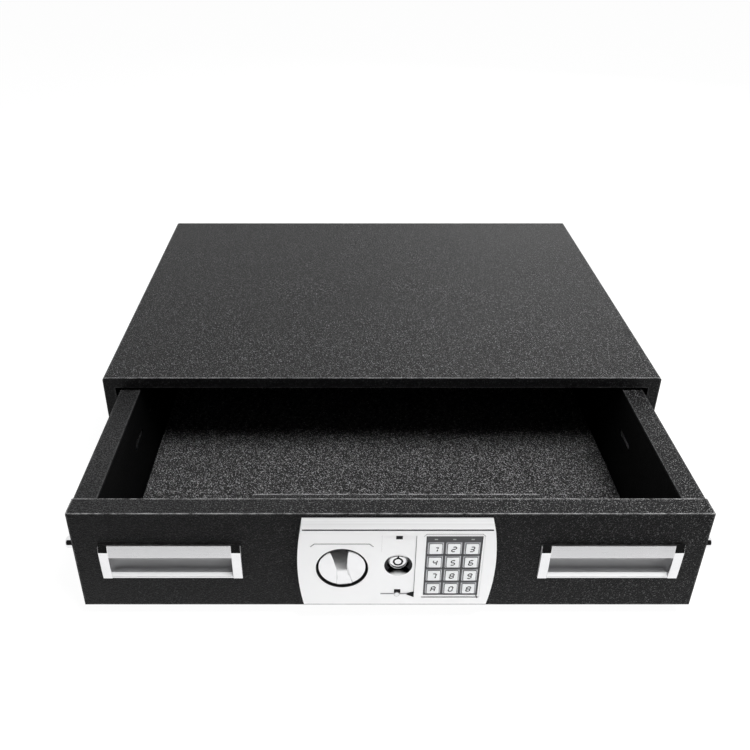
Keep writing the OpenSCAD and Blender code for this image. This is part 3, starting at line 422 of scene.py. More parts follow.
@dataclass(frozen=True)
class PlatedMetal(Finish):
    """Smooth plated or polished metal: chrome, zinc, brass."""

    sway: Pair = (0.04, 0.07)
    smudges: float = 35.0

    def dress(self, g: Graph) -> dict[str, Value]:
        """Faint smudges in the gloss, colour and relief.

        Args:
            g: The material's graph.

        Returns:
            The shader's inputs, by name.
        """
        patches = g.patches(self.smudges)
        return {"Base Color": g.mix(patches, self.colour, shade(self.colour, 0.82)),
                "Roughness": self.varied(g, patches),
                "Normal": g.bump(patches, 0.00002, 0.3), "Metallic": 1.0}


@dataclass(frozen=True)
class PaintedThroatNickel(Finish):
    """Black plating as painted shade and dark reflection in the throat, painted bright over and under the
    bore as painted reflection.
    """

    sway: Pair = (0.05, 0.08)
    smudges: float = 60.0
    level: float = 0.0789  # height of the bore's axis
    bare: Pair = (0.0088, 0.0122)  # distance from it at which the painted brightening starts and is complete

    def dress(self, g: Graph) -> dict[str, Value]:
        """Black as painted shade, turning bright with the height's distance from the axis as painted
        reflection.

        Args:
            g: The material's graph.

        Returns:
            The shader's inputs, by name.
        """
        patches = g.patches(self.smudges)
        off = g.math("ABSOLUTE", g.math("SUBTRACT", g.parts(g.place())["Z"], self.level))
        painted_bright = g.times(g.span(off, *self.bare), g.plus(patches, 0.6), clamp=True)
        return {"Base Color": g.mix(painted_bright, self.colour, tint(0.9)),
                "Roughness": self.varied(g, patches), "Metallic": g.less(g.times(painted_bright, 0.75))}


@dataclass(frozen=True)
class Moulded(Finish):
    """Moulded or painted plastic with a fine spark grain."""

    grain: float = 2600.0  # grain per metre
    depth: float = 0.00003  # height of the grain
    vary: float = 0.06  # share by which the colour varies
    metallic: float = 0.0  # share of metal flake in the paint
    gloss: float = 0.5  # strength of the reflection

    def dress(self, g: Graph) -> dict[str, Value]:
        """Fine grain, small colour changes and handled patches.

        Args:
            g: The material's graph.

        Returns:
            The shader's inputs, by name.
        """
        height = g.effect(Effect.GRAIN, Scale=self.grain)["Height"]
        patches = g.patches(self.smudges)
        changes = g.plus(g.times(height, 0.5), g.times(patches, 0.5))
        return {"Base Color": g.mix(changes, shade(self.colour, 1.0 - self.vary), self.colour),
                "Roughness": self.varied(g, patches), "Normal": g.bump(height, self.depth),
                "Metallic": self.metallic, "Specular IOR Level": self.gloss}


@dataclass(frozen=True)
class PanelPaint(Moulded):
    """The panel's paint, with a band of darker brushed streaks along its sloped top: brushing, and painted
    shade where the slope faces up.
    """

    band: float = 0.12355  # height above which the band starts
    fades: Row = (0.003, 0.0046, 0.0056)  # heights over that where it is full, starts to fade, is faint
    faint: float = 0.1  # share of the streaks where they are faint
    brushed: Colour = tint(0.84, 0.845)  # the darker streaks: brushing, and painted shade on the upward slope

    def dress(self, g: Graph) -> dict[str, Value]:
        """The paint, then long darker streaks on the band, faint at its foot and its top: brushing, and
        painted shade on the slope.

        Args:
            g: The material's graph.

        Returns:
            The shader's inputs, by name.
        """
        made = super().dress(g)
        height = g.parts(g.place())["Z"]
        full, fading, top = (self.band + over for over in self.fades)
        streak = g.span(g.effect(Effect.BRUSH, Scale=0.16)["Lines"], 0.4, 0.6, start=self.faint)
        amount = g.times(g.math("GREATER_THAN", height, self.band), streak,
                         g.span(height, fading, top, 1.0, self.faint),
                         g.span(height, self.band, full, start=self.faint))
        made["Base Color"] = g.mix(amount, made["Base Color"], self.brushed)
        return made


@dataclass(frozen=True)
class Clear(Finish):
    """Clear moulded plastic, as the lenses are."""

    sway: Pair = (0.0, 0.12)
    smudges: float = 60.0
    through: float = 0.45  # share of the light that it lets through

    def dress(self, g: Graph) -> dict[str, Value]:
        """Half clear, with a little body colour and a handled gloss.

        Args:
            g: The material's graph.

        Returns:
            The shader's inputs, by name.
        """
        patches = g.patches(self.smudges)
        return {"Base Color": g.mix(patches, shade(self.colour, 0.9), self.colour),
                "Roughness": self.varied(g, patches), "Transmission Weight": self.through}


@dataclass(frozen=True)
class Felt(Finish):
    """Needle-felt carpet: matted fibres with pale ends."""

    smudges: float = 7.0
    fibre: Colour = tint(0.70, 0.71)  # the fibres' ends
    depth: float = 0.003  # height of the pile

    def dress(self, g: Graph) -> dict[str, Value]:
        """Tufted relief, speckled fibres and a soft sheen.

        Args:
            g: The material's graph.

        Returns:
            The shader's inputs, by name.
        """
        grain = g.effect(Effect.GRAIN, Scale=640.0, Low=0.578, Width=0.02)
        patches = g.patches(self.smudges)
        tufted = g.mix(grain["Tops"], self.colour, self.fibre)
        return {"Base Color": g.mix(g.times(patches, 0.35), tufted, shade(self.colour, 1.35)),
                "Roughness": g.span(grain["Height"], start=0.95, end=0.75),
                "Normal": g.bump(grain["Height"], self.depth), "Sheen Weight": 0.12, "Sheen Roughness": 0.6}


COAT_BLACK = tint(0.004, 0.0044)


class Look(Enum):
    """Every finish on the safe."""

    # The coats' left, right, far, near and upright settings are painted light: how the bright tops spread
    # with side, depth and facing.
    COAT = PowderCoat("powder_coat", COAT_BLACK, 0.46)
    COAT_CABINET = PowderCoat("powder_coat_cabinet", COAT_BLACK, 0.46, left=0.75, near=1.45, upright=0.08)
    COAT_TRAY = PowderCoat("powder_coat_tray", COAT_BLACK, 0.5, edge_wear_and_highlight=tint(0.12, 0.122), painted_shade_below=0.1335)
    # a darker copy of the coat: painted shade for the parts deep inside the safe
    COAT_PAINTED_SHADE = PowderCoat("powder_coat_painted_shade", tint(0.002, 0.0022), 0.85, depth=0.0005, gloss=0.12,
                             tip=tint(0.006, 0.0062), fill=tint(0.003), edge_wear_and_highlight=tint(0.01, 0.0102))
    CARPET = Felt("felt_mat", tint(0.003, 0.0033), 0.9)
    CHROME = PlatedMetal("polished_chrome", tint(0.86, 0.87), 0.06)
    SATIN = BrushedMetal("satin_silver", tint(0.93, 0.94), 0.30, lines=0.06)
    GRIP = BrushedMetal("brushed_grip", tint(0.70, 0.71), 0.28, lines=0.16)
    ZINC = PlatedMetal("zinc_steel", (0.70, 0.71, 0.73, 1.0), 0.30)
    BRASS = PlatedMetal("brass_strip", (0.62, 0.50, 0.26, 1.0), 0.34)
    PANEL = PanelPaint("panel_silver_white", tint(0.955, 0.96), 0.34, vary=0.03, metallic=0.24)
    # grey strips that stand in for the shade along the panel's lines and edges: painted shade
    LINE = Moulded("panel_painted_shade_line", tint(0.24, 0.245), 0.5, vary=0.2)
    BLACK = Moulded("black_plastic", tint(0.012, 0.013), 0.42, grain=1800.0, depth=0.00006, vary=0.3)
    PAD = Moulded("keypad_grey", tint(0.065, 0.070), 0.36, vary=0.2)
    KNOB = PlatedMetal("knob_satin_chrome", tint(0.86, 0.87), 0.16)
    KEY_FACE = Moulded("key_face", (0.90, 0.91, 0.92, 1.0), 0.30, vary=0.04)
    KEY_SKIRT = Moulded("key_skirt", (0.56, 0.57, 0.59, 1.0), 0.18, vary=0.12, metallic=0.4)
    # print on the keys; also dark strips, a bore wall and a mark that stand in for shade: painted shade
    INK_AND_PAINTED_SHADE = Moulded("ink_and_painted_shade", tint(0.006, 0.007), 0.5, vary=0.2, gloss=0.15)
    THROAT_PAINTED_SHADE = PaintedThroatNickel("throat_painted_shade", tint(0.02, 0.021), 0.16)
    # lit and shaded copies of the cup's one satin finish: painted highlight on the ledge, painted shade in
    # the bowl
    LEDGE_PAINTED_LIGHT = Moulded("satin_ledge_painted_light", tint(0.97, 0.975), 0.34, vary=0.04)
    BOWL_PAINTED_SHADE = Moulded("satin_bowl_painted_shade", tint(0.58, 0.59), 0.46, vary=0.15, metallic=0.4)
    LENS = Clear("clear_lens", (0.72, 0.76, 0.74, 1.0), 0.12)
    BOARD = Moulded("solder_mask", (0.012, 0.10, 0.045, 1.0), 0.32, vary=0.3)
    NYLON = Moulded("nylon", tint(0.70, 0.66), 0.5, vary=0.08)
    CELL = Moulded("cell_sleeve", (0.55, 0.33, 0.08, 1.0), 0.28, vary=0.15)
    RED = Moulded("red_plastic", (0.38, 0.02, 0.02, 1.0), 0.34, vary=0.15)
    WIRE = Moulded("wire_sleeve", (0.30, 0.015, 0.015, 1.0), 0.42, vary=0.2)


class Wardrobe:
    """Builds each finish once and puts it on objects."""

    def __init__(self) -> None:
        """Starts with no finish built."""
        self._effects = Effects()
        self._made: dict[Look, bpy.types.Material] = {}

    def material(self, look: Look) -> bpy.types.Material:
        """Hands out a material, and builds it the first time.

        Args:
            look: Which finish.

        Returns:
            Its material.
        """
        if look not in self._made:
            self._made[look] = look.value.build(self._effects)
        return self._made[look]

    def put(self, obj: Object, *looks: Look) -> None:
        """Gives an object these looks in its slots' order, the last one to any slot that is left.

        Args:
            obj: Object to dress.
            *looks: One look for each material slot.
        """
        slots = obj.data.materials
        for index in range(len(slots)):
            slots[index] = self.material(looks[min(index, len(looks) - 1)])
        if not slots:
            for look in looks:
                slots.append(self.material(look))


# meshes


def linked(name: str, data: bpy.types.ID) -> Object:
    """Makes an object and puts it in the scene.

    Args:
        name: Name of the object.
        data: Its mesh, light or camera.

    Returns:
        The new object.
    """
    obj = bpy.data.objects.new(name, data)
    bpy.context.scene.collection.objects.link(obj)
    return obj


def finished(name: str, bm: bmesh.types.BMesh, mesh: bpy.types.Mesh, smooth: float) -> Object:
    """Turns a bmesh's faces outward, writes it to its mesh and makes the object.

    Args:
        name: Name of the object.
        bm: The bmesh, which is used up.
        mesh: The mesh to write.
        smooth: Edges flatter than this many degrees are shaded smooth.

    Returns:
        The new object, at the origin.
    """
    bmesh.ops.recalc_face_normals(bm, faces=bm.faces[:])
    bm.to_mesh(mesh)
    bm.free()
    mesh.shade_smooth()
    mesh.set_sharp_from_angle(angle=math.radians(smooth))
    return linked(name, mesh)


def circle(radius: float, steps: int, middle: Pair = (0.0, 0.0)) -> list[Pair]:
    """A circle as points of two coordinates.

    Args:
        radius: Its radius.
        steps: How many points it has.
        middle: Its middle.

    Returns:
        The points in order round the circle.
    """
    turn = 2.0 * math.pi / steps
    return [(middle[0] + radius * math.cos(i * turn), middle[1] + radius * math.sin(i * turn))
            for i in range(steps)]


def rect_ring(half: float, zs: Pair, corner: float, y: float, steps: int = 4) -> list[Point]:
    """A rectangle with rounded corners in X and Z, as points.

    Args:
        half: Half its width.
        zs: Its lower and upper side.
        corner: Radius of the corners.
        y: Place along Y.
        steps: Steps in each corner.

    Returns:
        The points in order round the rectangle.
    """
    ring = []
    for quarter in range(4):
        mid_x = half - corner if quarter in (0, 3) else corner - half
        mid_z = zs[1] - corner if quarter in (0, 1) else zs[0] + corner
        for i in range(steps + 1):
            angle = math.pi / 2 * (quarter + i / steps)
            ring.append((mid_x + corner * math.cos(angle), y, mid_z + corner * math.sin(angle)))
    return ring


class Form:
    """Gathers closed shapes into one mesh, in millimetres from a given point of the drawer's face."""

    def __init__(self, at: Point = (0.0, 0.0, 0.0)) -> None:
        """Starts empty.

        Args:
            at: Point that the shapes are measured from, its Y from the drawer's face.
        """
        self.at = at
        self.points: list[Point] = []
        self.faces: list[tuple[int, ...]] = []
        self.slots: list[int] = []

    def _face(self, corners: Sequence[int], slot: int) -> None:
        """Adds one face."""
        self.faces.append(tuple(corners))
        self.slots.append(slot)

    def loft(self, rings: Sequence[Sequence[Point]], slots: Sequence[int] = (0,), caps: bool = True) -> None:
        """Joins rings of equal count with quads, and closes the ends.

        Args:
            rings: The rings in order.
            slots: Material slot of each step between rings; the last one serves for the rest.
            caps: Whether the two ends are closed.
        """
        made = []
        for ring in rings:
            made.append(range(len(self.points), len(self.points) + len(ring)))
            self.points.extend(ring)
        for step, (low, high) in enumerate(zip(made, made[1:])):
            slot = slots[min(step, len(slots) - 1)]
            for i in range(len(low)):
                j = (i + 1) % len(low)
                self._face((low[i], low[j], high[j], high[i]), slot)
        if caps:
            self._face(made[0][::-1], slots[0])
            self._face(made[-1], slots[-1])

    def turned(self, profile: Sequence[Pair], slots: Sequence[int] = (0,), steps: int = 64,
               closed: bool = False, middle: Pair = (0.0, 0.0)) -> None:
        """A shape turned about an axis along Y.

        Args:
            profile: (radius, y) pairs in order.
            slots: Material slot of each step, as in loft.
            steps: Steps round the axis.
            closed: Whether the profile runs back to its start, as a ring's does.
            middle: Place of the axis in X and Z.
        """
        rings = [[(x, y, z) for x, z in circle(radius, steps, middle)] for radius, y in profile]
        if closed:
            rings.append(rings[0])
        self.loft(rings, slots, caps=not closed)

    def prism(self, outline: Sequence[Pair], y0: float, y1: float, slot: int = 0) -> None:
        """A flat outline in X and Z, swept from y0 to y1."""
        self.loft([[(x, y, z) for x, z in outline] for y in (y0, y1)], (slot,))

    def block(self, xs: Pair, zs: Pair, y0: float, y1: float, slot: int = 0) -> None:
        """A box between those sides."""
        self.prism([(xs[i], zs[j]) for i, j in ((0, 0), (1, 0), (1, 1), (0, 1))], y0, y1, slot)

    def make(self, name: str, smooth: float = 30.0) -> Object:
        """Builds the object.

        Args:
            name: Name of the object.
            smooth: Edges flatter than this many degrees are shaded smooth.

        Returns:
            The new object, at the origin, its faces outward.
        """
        mesh = bpy.data.meshes.new(name)
        at_x, at_y, at_z = self.at
        placed = [((x + at_x) * MM, (y + at_y + FACE) * MM, (z + at_z) * MM) for x, y, z in self.points]
        mesh.from_pydata(placed, [], self.faces)
        mesh.polygons.foreach_set("material_index", self.slots)
        bm = bmesh.new()
        bm.from_mesh(mesh)
        bmesh.ops.remove_doubles(bm, verts=bm.verts[:], dist=SAME_CORNER)
        return finished(name, bm, mesh, smooth)


# the safe


@dataclass(frozen=True)
class Shop:
    """What every sub-assembly needs: the frame's CAD objects by name, and the source of the finishes."""

    nodes: dict[str, Object]
    wardrobe: Wardrobe

    def place(self, obj: Object, body: str, slot: str, nodes: Sequence[str] = (),
              looks: Sequence[Look] = ()) -> None:
        """Hands a fine piece to the frame.

        Args:
            obj: The piece.
            body: CAD body that it moves with.
            slot: Material slot of the record that it stands for; not used.
            nodes: CAD nodes that it replaces.
            looks: One look for each of its material slots.
        """
        if looks:
            self.wardrobe.put(obj, *looks)
        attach(obj, body)
        if nodes:
            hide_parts(*nodes)

    def dress(self, name: str, look: Look, bevel: float = 0.0, segments: int = 2) -> None:
        """Puts a look on a CAD node, and softens its sharp edges.

        Args:
            name: Name of the node.
            look: Finish for all of it.
            bevel: Width of the softened edges in millimetres, or nought for none.
            segments: Steps across each softened edge.
        """
        obj = self.nodes[name]
        self.wardrobe.put(obj, look)
        if bevel > 0.0:
            weld = obj.modifiers.new("joined", "WELD")
            weld.merge_threshold = SAME_CAD_CORNER
            whole = obj.modifiers.new("whole_faces", "DECIMATE")
            whole.decimate_type = "DISSOLVE"
            whole.angle_limit = math.radians(FLAT)
            soft = obj.modifiers.new("soft_edges", "BEVEL")
            soft.width = bevel * MM
            soft.segments = segments
            soft.limit_method = "ANGLE"
            soft.angle_limit = math.radians(SHARP)
            soft.use_clamp_overlap = True
            soft.harden_normals = True


class SubAssembly:
    """One part of the safe: build() makes its fine pieces, dress() finishes the CAD nodes that stay.

    Its finishes are a node, its look and, where its edges are softened, their width in millimetres
    and steps.
    """

    name = "part"
    finishes: tuple[tuple, ...] = ()

    def __init__(self, shop: Shop) -> None:
        """Takes the frame's nodes and the finishes."""
        self.shop = shop

    def build(self) -> None:
        """Makes the pieces that are finer than their CAD nodes."""

    def dress(self) -> None:
        """Puts the finishes on the CAD nodes that stay."""
        for finish in self.finishes:
            self.shop.dress(*finish)


class Cabinet(SubAssembly):
    """Folded shell, back plate and slide brackets."""

    name = "cabinet"
    finishes = (("cabinet_shell", Look.COAT_CABINET, 0.8, 3), ("cabinet_back", Look.COAT_PAINTED_SHADE),
                ("slide_brackets", Look.COAT_PAINTED_SHADE))


class Slides(SubAssembly):
    """Ball slides: zinc-plated members, brass ball strips."""

    name = "slides"
    finishes = (("slide_outer_members", Look.ZINC), ("slide_middle_members", Look.ZINC),
                ("slide_inner_members", Look.ZINC), ("ball_retainers_outer", Look.BRASS),
                ("ball_retainers_inner", Look.BRASS))


@dataclass(frozen=True)
class MatSize:
    """Sizes of the felt mat, in millimetres."""

    step: float = 2.6  # spacing of the mat's points
    edge: float = 1.6  # radius of its rolled edge
    wave: float = 0.5  # height of its slow waves
    lump: float = 0.55  # height of its matted lumps
    thinnest: float = 0.1  # share of the thickness that is always left
    rolled: float = 0.6  # share of the thickness that the rolled edge falls
    wave_rate: Row = (26.0, 11.0, 30.0)  # waves per metre: along X, slanting along Y, along Y
    lump_rate: float = 210.0  # lumps per metre
    slices: Pair = (4.0, 9.0)  # where the noise is cut for the waves and for the lumps


class Drawer(SubAssembly):
    """Tray, hollow front, closing plate and mat."""

    name = "drawer"
    finishes = (("drawer_front", Look.COAT, 0.8, 3), ("drawer_tray", Look.COAT_TRAY, 0.35),
                ("front_closing_plate", Look.COAT_PAINTED_SHADE))
    mat = MatSize()

    def build(self) -> None:
        """Lays the felt mat in the tray."""
        low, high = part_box("carpet_mat")
        felt = self._felt(low, high)
        self.shop.place(felt, "drawer", "grey_carpet", ("carpet_mat",), (Look.CARPET,))

    def _height(self, x: float, y: float, low: Vector, high: Vector) -> float:
        """Height of the mat's top.

        Args:
            x: Place in X.
            y: Place in Y.
            low: Lowest corner of the CAD mat.
            high: Highest corner of the CAD mat.

        Returns:
            The height in Z.
        """
        size = self.mat
        edge, thick = size.edge * MM, high.z - low.z
        inside = min(x - low.x, high.x - x, y - low.y, high.y - y)
        roll = 0.0
        if inside < edge:
            roll = 1.0 - math.sqrt(max(0.0, 1.0 - min(1.0, inside / edge - 1.0) ** 2))
        along, slant, deep = size.wave_rate
        wave_cut, lump_cut = size.slices
        wave = 0.5 + 0.5 * noise.noise(Vector((x * along + y * slant, y * deep, wave_cut)))
        lump = 0.5 + 0.5 * noise.noise(Vector((x * size.lump_rate, y * size.lump_rate, lump_cut)))
        sunk = (size.wave * wave + size.lump * lump) * MM
        fall = roll * (thick - (size.wave + size.lump) * MM) * size.rolled
        return high.z - min(thick * (1.0 - size.thinnest), sunk + fall)

    def _felt(self, low: Vector, high: Vector) -> Object:
        """A mat with a lumpy top and rolled edges.

        Args:
            low: Lowest corner of the CAD mat.
            high: Highest corner of the CAD mat.

        Returns:
            The mat.
        """
        across, along = (int((high[i] - low[i]) / (self.mat.step * MM)) for i in (0, 1))
        bm = bmesh.new()
        xs = [low.x + (high.x - low.x) * i / across for i in range(across + 1)]
        ys = [low.y + (high.y - low.y) * j / along for j in range(along + 1)]
        top = [[bm.verts.new((x, y, 0.0)) for y in ys] for x in xs]
        for vert in bm.verts:
            vert.co.z = self._height(vert.co.x, vert.co.y, low, high)
        for i in range(across):
            for j in range(along):
                bm.faces.new((top[i][j], top[i + 1][j], top[i + 1][j + 1], top[i][j + 1]))
        rim = [column[0] for column in top] + top[-1][1:]
        rim += [column[-1] for column in top[-2::-1]] + top[0][-2:0:-1]
        foot = [bm.verts.new((vert.co.x, vert.co.y, low.z)) for vert in rim]
        for i, vert in enumerate(rim):
            j = (i + 1) % len(rim)
            bm.faces.new((vert, foot[i], foot[j], rim[j]))
        bm.faces.new(foot[::-1])
        return finished("felt_mat", bm, bpy.data.meshes.new("felt_mat"), smooth=50.0)


@dataclass(frozen=True)
class HandleSize:
    """Sizes of a recessed handle, in millimetres: Y from the drawer's face, Z from the handle's middle."""

    middles: tuple[tuple[str, float], ...] = (("left", -208.2), ("right", 211.8))  # in X
    middle: float = 75.7  # of both, in Z
    width: float = 135.0  # over the end caps
    height: float = 42.5  # of the frame
    frame: float = 1.5  # thickness of the frame
    bow: float = 2.0  # how far the middle stands out over the frame
    bowl: tuple[Row, ...] = (
        (14.5, 60.0, -16.8, 16.8, 3.0), (13.5, 61.9, -18.7, 18.7, 3.0), (0.0, 61.9, -18.7, 18.7, 3.0),
        (0.0, 67.5, -21.25, 21.25, 1.0), (-1.15, 67.5, -21.25, 21.25, 1.0), (-1.5, 67.15, -20.9, 20.9, 0.9),
        (-1.5, 61.2, -19.1, 18.4, 1.4), (-1.2, 60.9, -18.7, 18.1, 1.5), (0.9, 60.7, -16.7, 17.7, 1.6),
        (1.5, 60.6, -16.4, 17.6, 1.8), (2.1, 60.5, -16.7, 17.5, 2.0), (2.8, 60.4, -17.4, 17.5, 2.4),
        (6.0, 60.0, -17.55, 17.4, 3.2), (9.2, 59.2, -17.0, 17.0, 4.2), (11.2, 57.8, -15.8, 15.8, 5.2),
        (12.5, 56.0, -13.6, 13.8, 5.6), (13.2, 53.5, -10.6, 11.0, 5.6),
    )  # the cup's rings: y, half width, lower side, upper side, corner radius
    bowl_slots: tuple[int, ...] = (0, 0, 0, 0, 0, 0, 1, 1, 1, 1, 2)  # frame; ledge, a lighter copy of the finish as painted highlight; bowl, a darker copy as painted shade
    grip_low: float = 6.15  # lower edge of the grip
    grip_thick: float = 1.5
    grip_set: float = 0.12  # how far it stands behind the bow
    lap: Pair = (0.03, 0.05)  # how far the grip and the caps are let into the frame
    lean: float = 0.03  # how far the grip leans back for each millimetre of height
    chamfer: Pair = (0.45, 0.95)  # height and depth of the chamfer along its top
    grip_foot: tuple[Pair, ...] = (
        (0.04, 0.62), (0.2, 0.26), (0.5, 0.05), (0.85, 0.0), (1.2, 0.12), (1.5, 0.5),
    )  # (back from the front, height) pairs round its lower edge
    round_from: float = 1.1  # height over its lower edge where that rounding starts
    cap: float = 9.0  # width of an end cap
    cap_front: tuple[Pair, ...] = (
        (-21.25, -1.75), (-21.0, -2.0), (-18.0, -2.3), (-14.0, -2.62), (-9.0, -2.95), (-3.0, -3.22),
        (3.0, -3.38), (9.0, -3.46), (12.5, -3.48), (13.0, -3.44), (13.4, -3.34), (20.8, -2.05), (21.25, -1.5),
    )  # (z, y) pairs up its front
    cap_round: tuple[Pair, ...] = ((0.0, 0.3), (0.07, 0.13), (0.2, 0.03), (0.4, 0.0))  # (x, inset) at a side


class Handles(SubAssembly):
    """The two recessed handles."""

    name = "handles"
    size = HandleSize()

    def build(self) -> None:
        """Makes both cups, both grips and the four end caps."""
        caps = Form((0.0, 0.0, self.size.middle))
        for side, middle in self.size.middles:
            self.shop.place(self._cup(side, middle), "drawer", "silver_frame", (f"handle_cup_{side}",),
                            (Look.SATIN, Look.LEDGE_PAINTED_LIGHT, Look.BOWL_PAINTED_SHADE))
            self.shop.place(self._grip(side, middle), "drawer", "brushed_grip", (f"handle_grip_{side}",),
                            (Look.GRIP,))
            for end in (-1, 1):
                self._cap(caps, middle + end * self.size.width / 2.0, -end)
        self.shop.place(caps.make("handle_caps_fine", smooth=24.0), "drawer", "bright_chrome",
                        ("handle_end_caps",), (Look.CHROME,))

    def _front(self, z: float) -> float:
        """Place of the grip's front at height z."""
        size = self.size
        return -size.frame - size.bow + size.grip_set + size.lean * (z - size.grip_low)

    def _cup(self, side: str, middle: float) -> Object:
        """A frame whose opening runs into a rounded bowl, with a bevelled rail along its lower edge.

        Args:
            side: Name of the side.
            middle: Middle of the handle in X.

        Returns:
            The cup, with slots for its frame, ledge and bowl.
        """
        form = Form((middle, 0.0, self.size.middle))
        rings = [rect_ring(half, (low, high), corner, y, steps=5)
                 for y, half, low, high, corner in self.size.bowl]
        form.loft(rings, self.size.bowl_slots)
        return form.make(f"handle_cup_{side}_fine", smooth=35.0)

    def _grip(self, side: str, middle: float) -> Object:
        """A plate over the upper part of the opening, chamfered along its top and rolled under its foot.

        Args:
            side: Name of the side.
            middle: Middle of the handle in X.

        Returns:
            The grip.
        """
        size = self.size
        low, high = size.grip_low, size.height / 2.0
        back = size.lap[0] - size.frame
        top = high - size.chamfer[0]
        steps = 8
        heights = [top - (top - low - size.round_from) * i / steps for i in range(steps + 1)]
        outline = [(back, high), (self._front(top) + size.chamfer[1], high)]
        outline += [(self._front(z), z) for z in heights]
        outline += [(self._front(low) + y, low + z) for y, z in size.grip_foot]
        outline += [(min(back, self._front(z) + size.grip_thick), z) for z in heights[::-1]]
        half, near = size.width / 2.0 - size.cap, 0.01
        form = Form((middle, 0.0, size.middle))
        form.loft([[(x, y, z) for y, z in outline] for x in (-half, near - half, half - near, half)])
        return form.make(f"handle_grip_{side}_fine", smooth=28.0)

    def _cap(self, form: Form, outer: float, way: int) -> None:
        """Adds one end cap: a bowed bar with a crown that leans back at its top.

        Args:
            form: Form to add it to.
            outer: Its outer side in X.
            way: 1 if it reaches to the right from there, -1 if to the left.
        """
        size = self.size
        rings = []
        for x, inset in (*size.cap_round, *((size.cap - x, inset) for x, inset in size.cap_round[::-1])):
            reach = size.height / 2.0 - inset
            outline = [(min(y + inset, -size.frame), max(-reach, min(reach, z))) for z, y in size.cap_front]
            outline += [(size.lap[1] - size.frame, z) for z in (reach, -reach)]
            rings.append([(outer + way * x, y, z) for y, z in outline])
        form.loft(rings)


@dataclass(frozen=True)
class KnobSize:
    """Sizes of the knob, in millimetres: Y from the drawer's face.

    The rim is (out from the radius, back from the face) pairs, the ridge's section (inset from its
    side, share of its height) pairs.
    """

    at: Pair = (-44.7, 75.3)  # its middle in X and Z
    radius: float = 22.75  # of its disc
    face: float = -8.35  # place of the disc's face
    back: float = -2.9
    rim: tuple[Pair, ...] = ((0.0, 0.9), (-0.12, 0.45), (-0.45, 0.14), (-0.9, 0.0), (-6.0, 0.0))
    rise: float = 4.4  # height of the ridge over the face
    inset: float = 0.55  # distance of its ends from the disc's rim
    end: float = 9.6  # half the ridge's width at its upper end
    foot: float = 7.9  # half its width at the lower end
    waist: float = 5.2  # half its width at the waist
    pinch: float = 1.3  # power by which it widens from there
    blunt: float = 1.6  # half width under which its section is spread evenly
    section: tuple[Pair, ...] = ((0.0, 0.25), (0.08, 0.7), (0.14, 0.9), (0.4, 0.99), (0.7, 1.0))
    flare: float = 0.35  # how far its foot spreads on the face
    sunk: float = 0.2  # how far its foot is let into the face
    past: float = 0.1  # how far its foot reaches past its ends
    stop: float = 0.998  # share of its reach at which its ends are cut off
    tilt: float = 7.0  # degrees by which it leans
    flat: float = 3.0  # distance from the crest at which its slopes are straight
    crest: float = -3.0  # height of the crest over the knob's middle
    steps: int = 40  # along the ridge


@dataclass(frozen=True)
class KeySize:
    """Sizes of one key, in millimetres: Y from the drawer's face."""

    side: float = 15.0
    pitch: float = 17.0  # spacing of the keys
    mid: float = 59.8  # middle of the keypad in X
    top: float = 100.3  # middle of the top row in Z
    front: float = -10.75  # place of a key's face
    back: float = -6.8  # place of its flange's back
    flange: Row = (0.7, 0.8, 0.8)  # width, thickness and corner radius of the flange
    crown: tuple[Row, ...] = (
        (0.0, 1.0, 1.55), (0.22, 1.0, 1.28), (1.12, 0.9, 0.9), (1.62, 0.9, 0.84), (1.68, 0.9, 0.16),
        (1.85, 0.85, 0.0),
    )  # inset, corner radius and depth behind the face of each step
    slots: tuple[int, ...] = (0, 0, 0, 0, 0, 2, 1, 1)  # skirt, dark joint, face
    digit: float = 5.8  # height of a digit
    narrow: float = 0.3  # half its width, as a share of its height
    stroke: float = 1.2  # width of its bars
    gap: float = 0.1  # from a bar's tip to the corner
    relief: float = 0.05  # of the sign over the face, and under it
    slant: float = 11.0  # degrees by which the digits lean
    flag: tuple[Pair, ...] = ((1.05, 2.9), (1.05, 1.9), (-0.35, 1.35), (-0.35, 2.2))  # on the digit one


@dataclass(frozen=True)
class LockSize:
    """Sizes of the key lock's front, in millimetres: (radius, y) pairs round each turned section."""

    at: Point = (8.6, 0.0, 78.9)  # where its axis meets the drawer's face
    well: tuple[Pair, ...] = ((24.85, -9.6), (24.4, -9.2), (24.3, -8.4), (24.3, -1.6), (24.85, -1.2))
    funnel: tuple[Pair, ...] = (
        (13.6, -9.15), (13.55, -9.34), (13.3, -9.36), (12.8, -9.26), (12.1, -8.95), (11.4, -8.5),
        (10.7, -7.9), (10.0, -7.1), (9.3, -6.2), (8.8, -5.5), (8.4, -4.9), (12.75, -9.12),
    )  # from its lip inwards and back
    funnel_slots: tuple[int, ...] = (0, 0, 1)  # bright lip; throat black as painted shade
    barrel: tuple[Pair, ...] = (
        (4.78, 11.3), (8.0, 11.3), (8.0, 0.0), (10.0, 0.0), (10.0, -1.5), (8.0, -1.5), (8.0, -4.3),
        (7.9, -4.5), (7.7, -4.6), (5.0, -4.6), (4.78, -4.4),
    )
    barrel_slots: tuple[int, ...] = (0,) * 10 + (1,)  # bright outside; bore wall dark as painted shade in the keyway
    mark: tuple[Pair, ...] = ((-1.7, 4.5), (1.7, 4.5), (0.0, 7.2))  # dark mark over the bore, painted shade in the keyway's notch, in X and Z
    mark_y: Pair = (-4.5, -4.64)  # its back and front


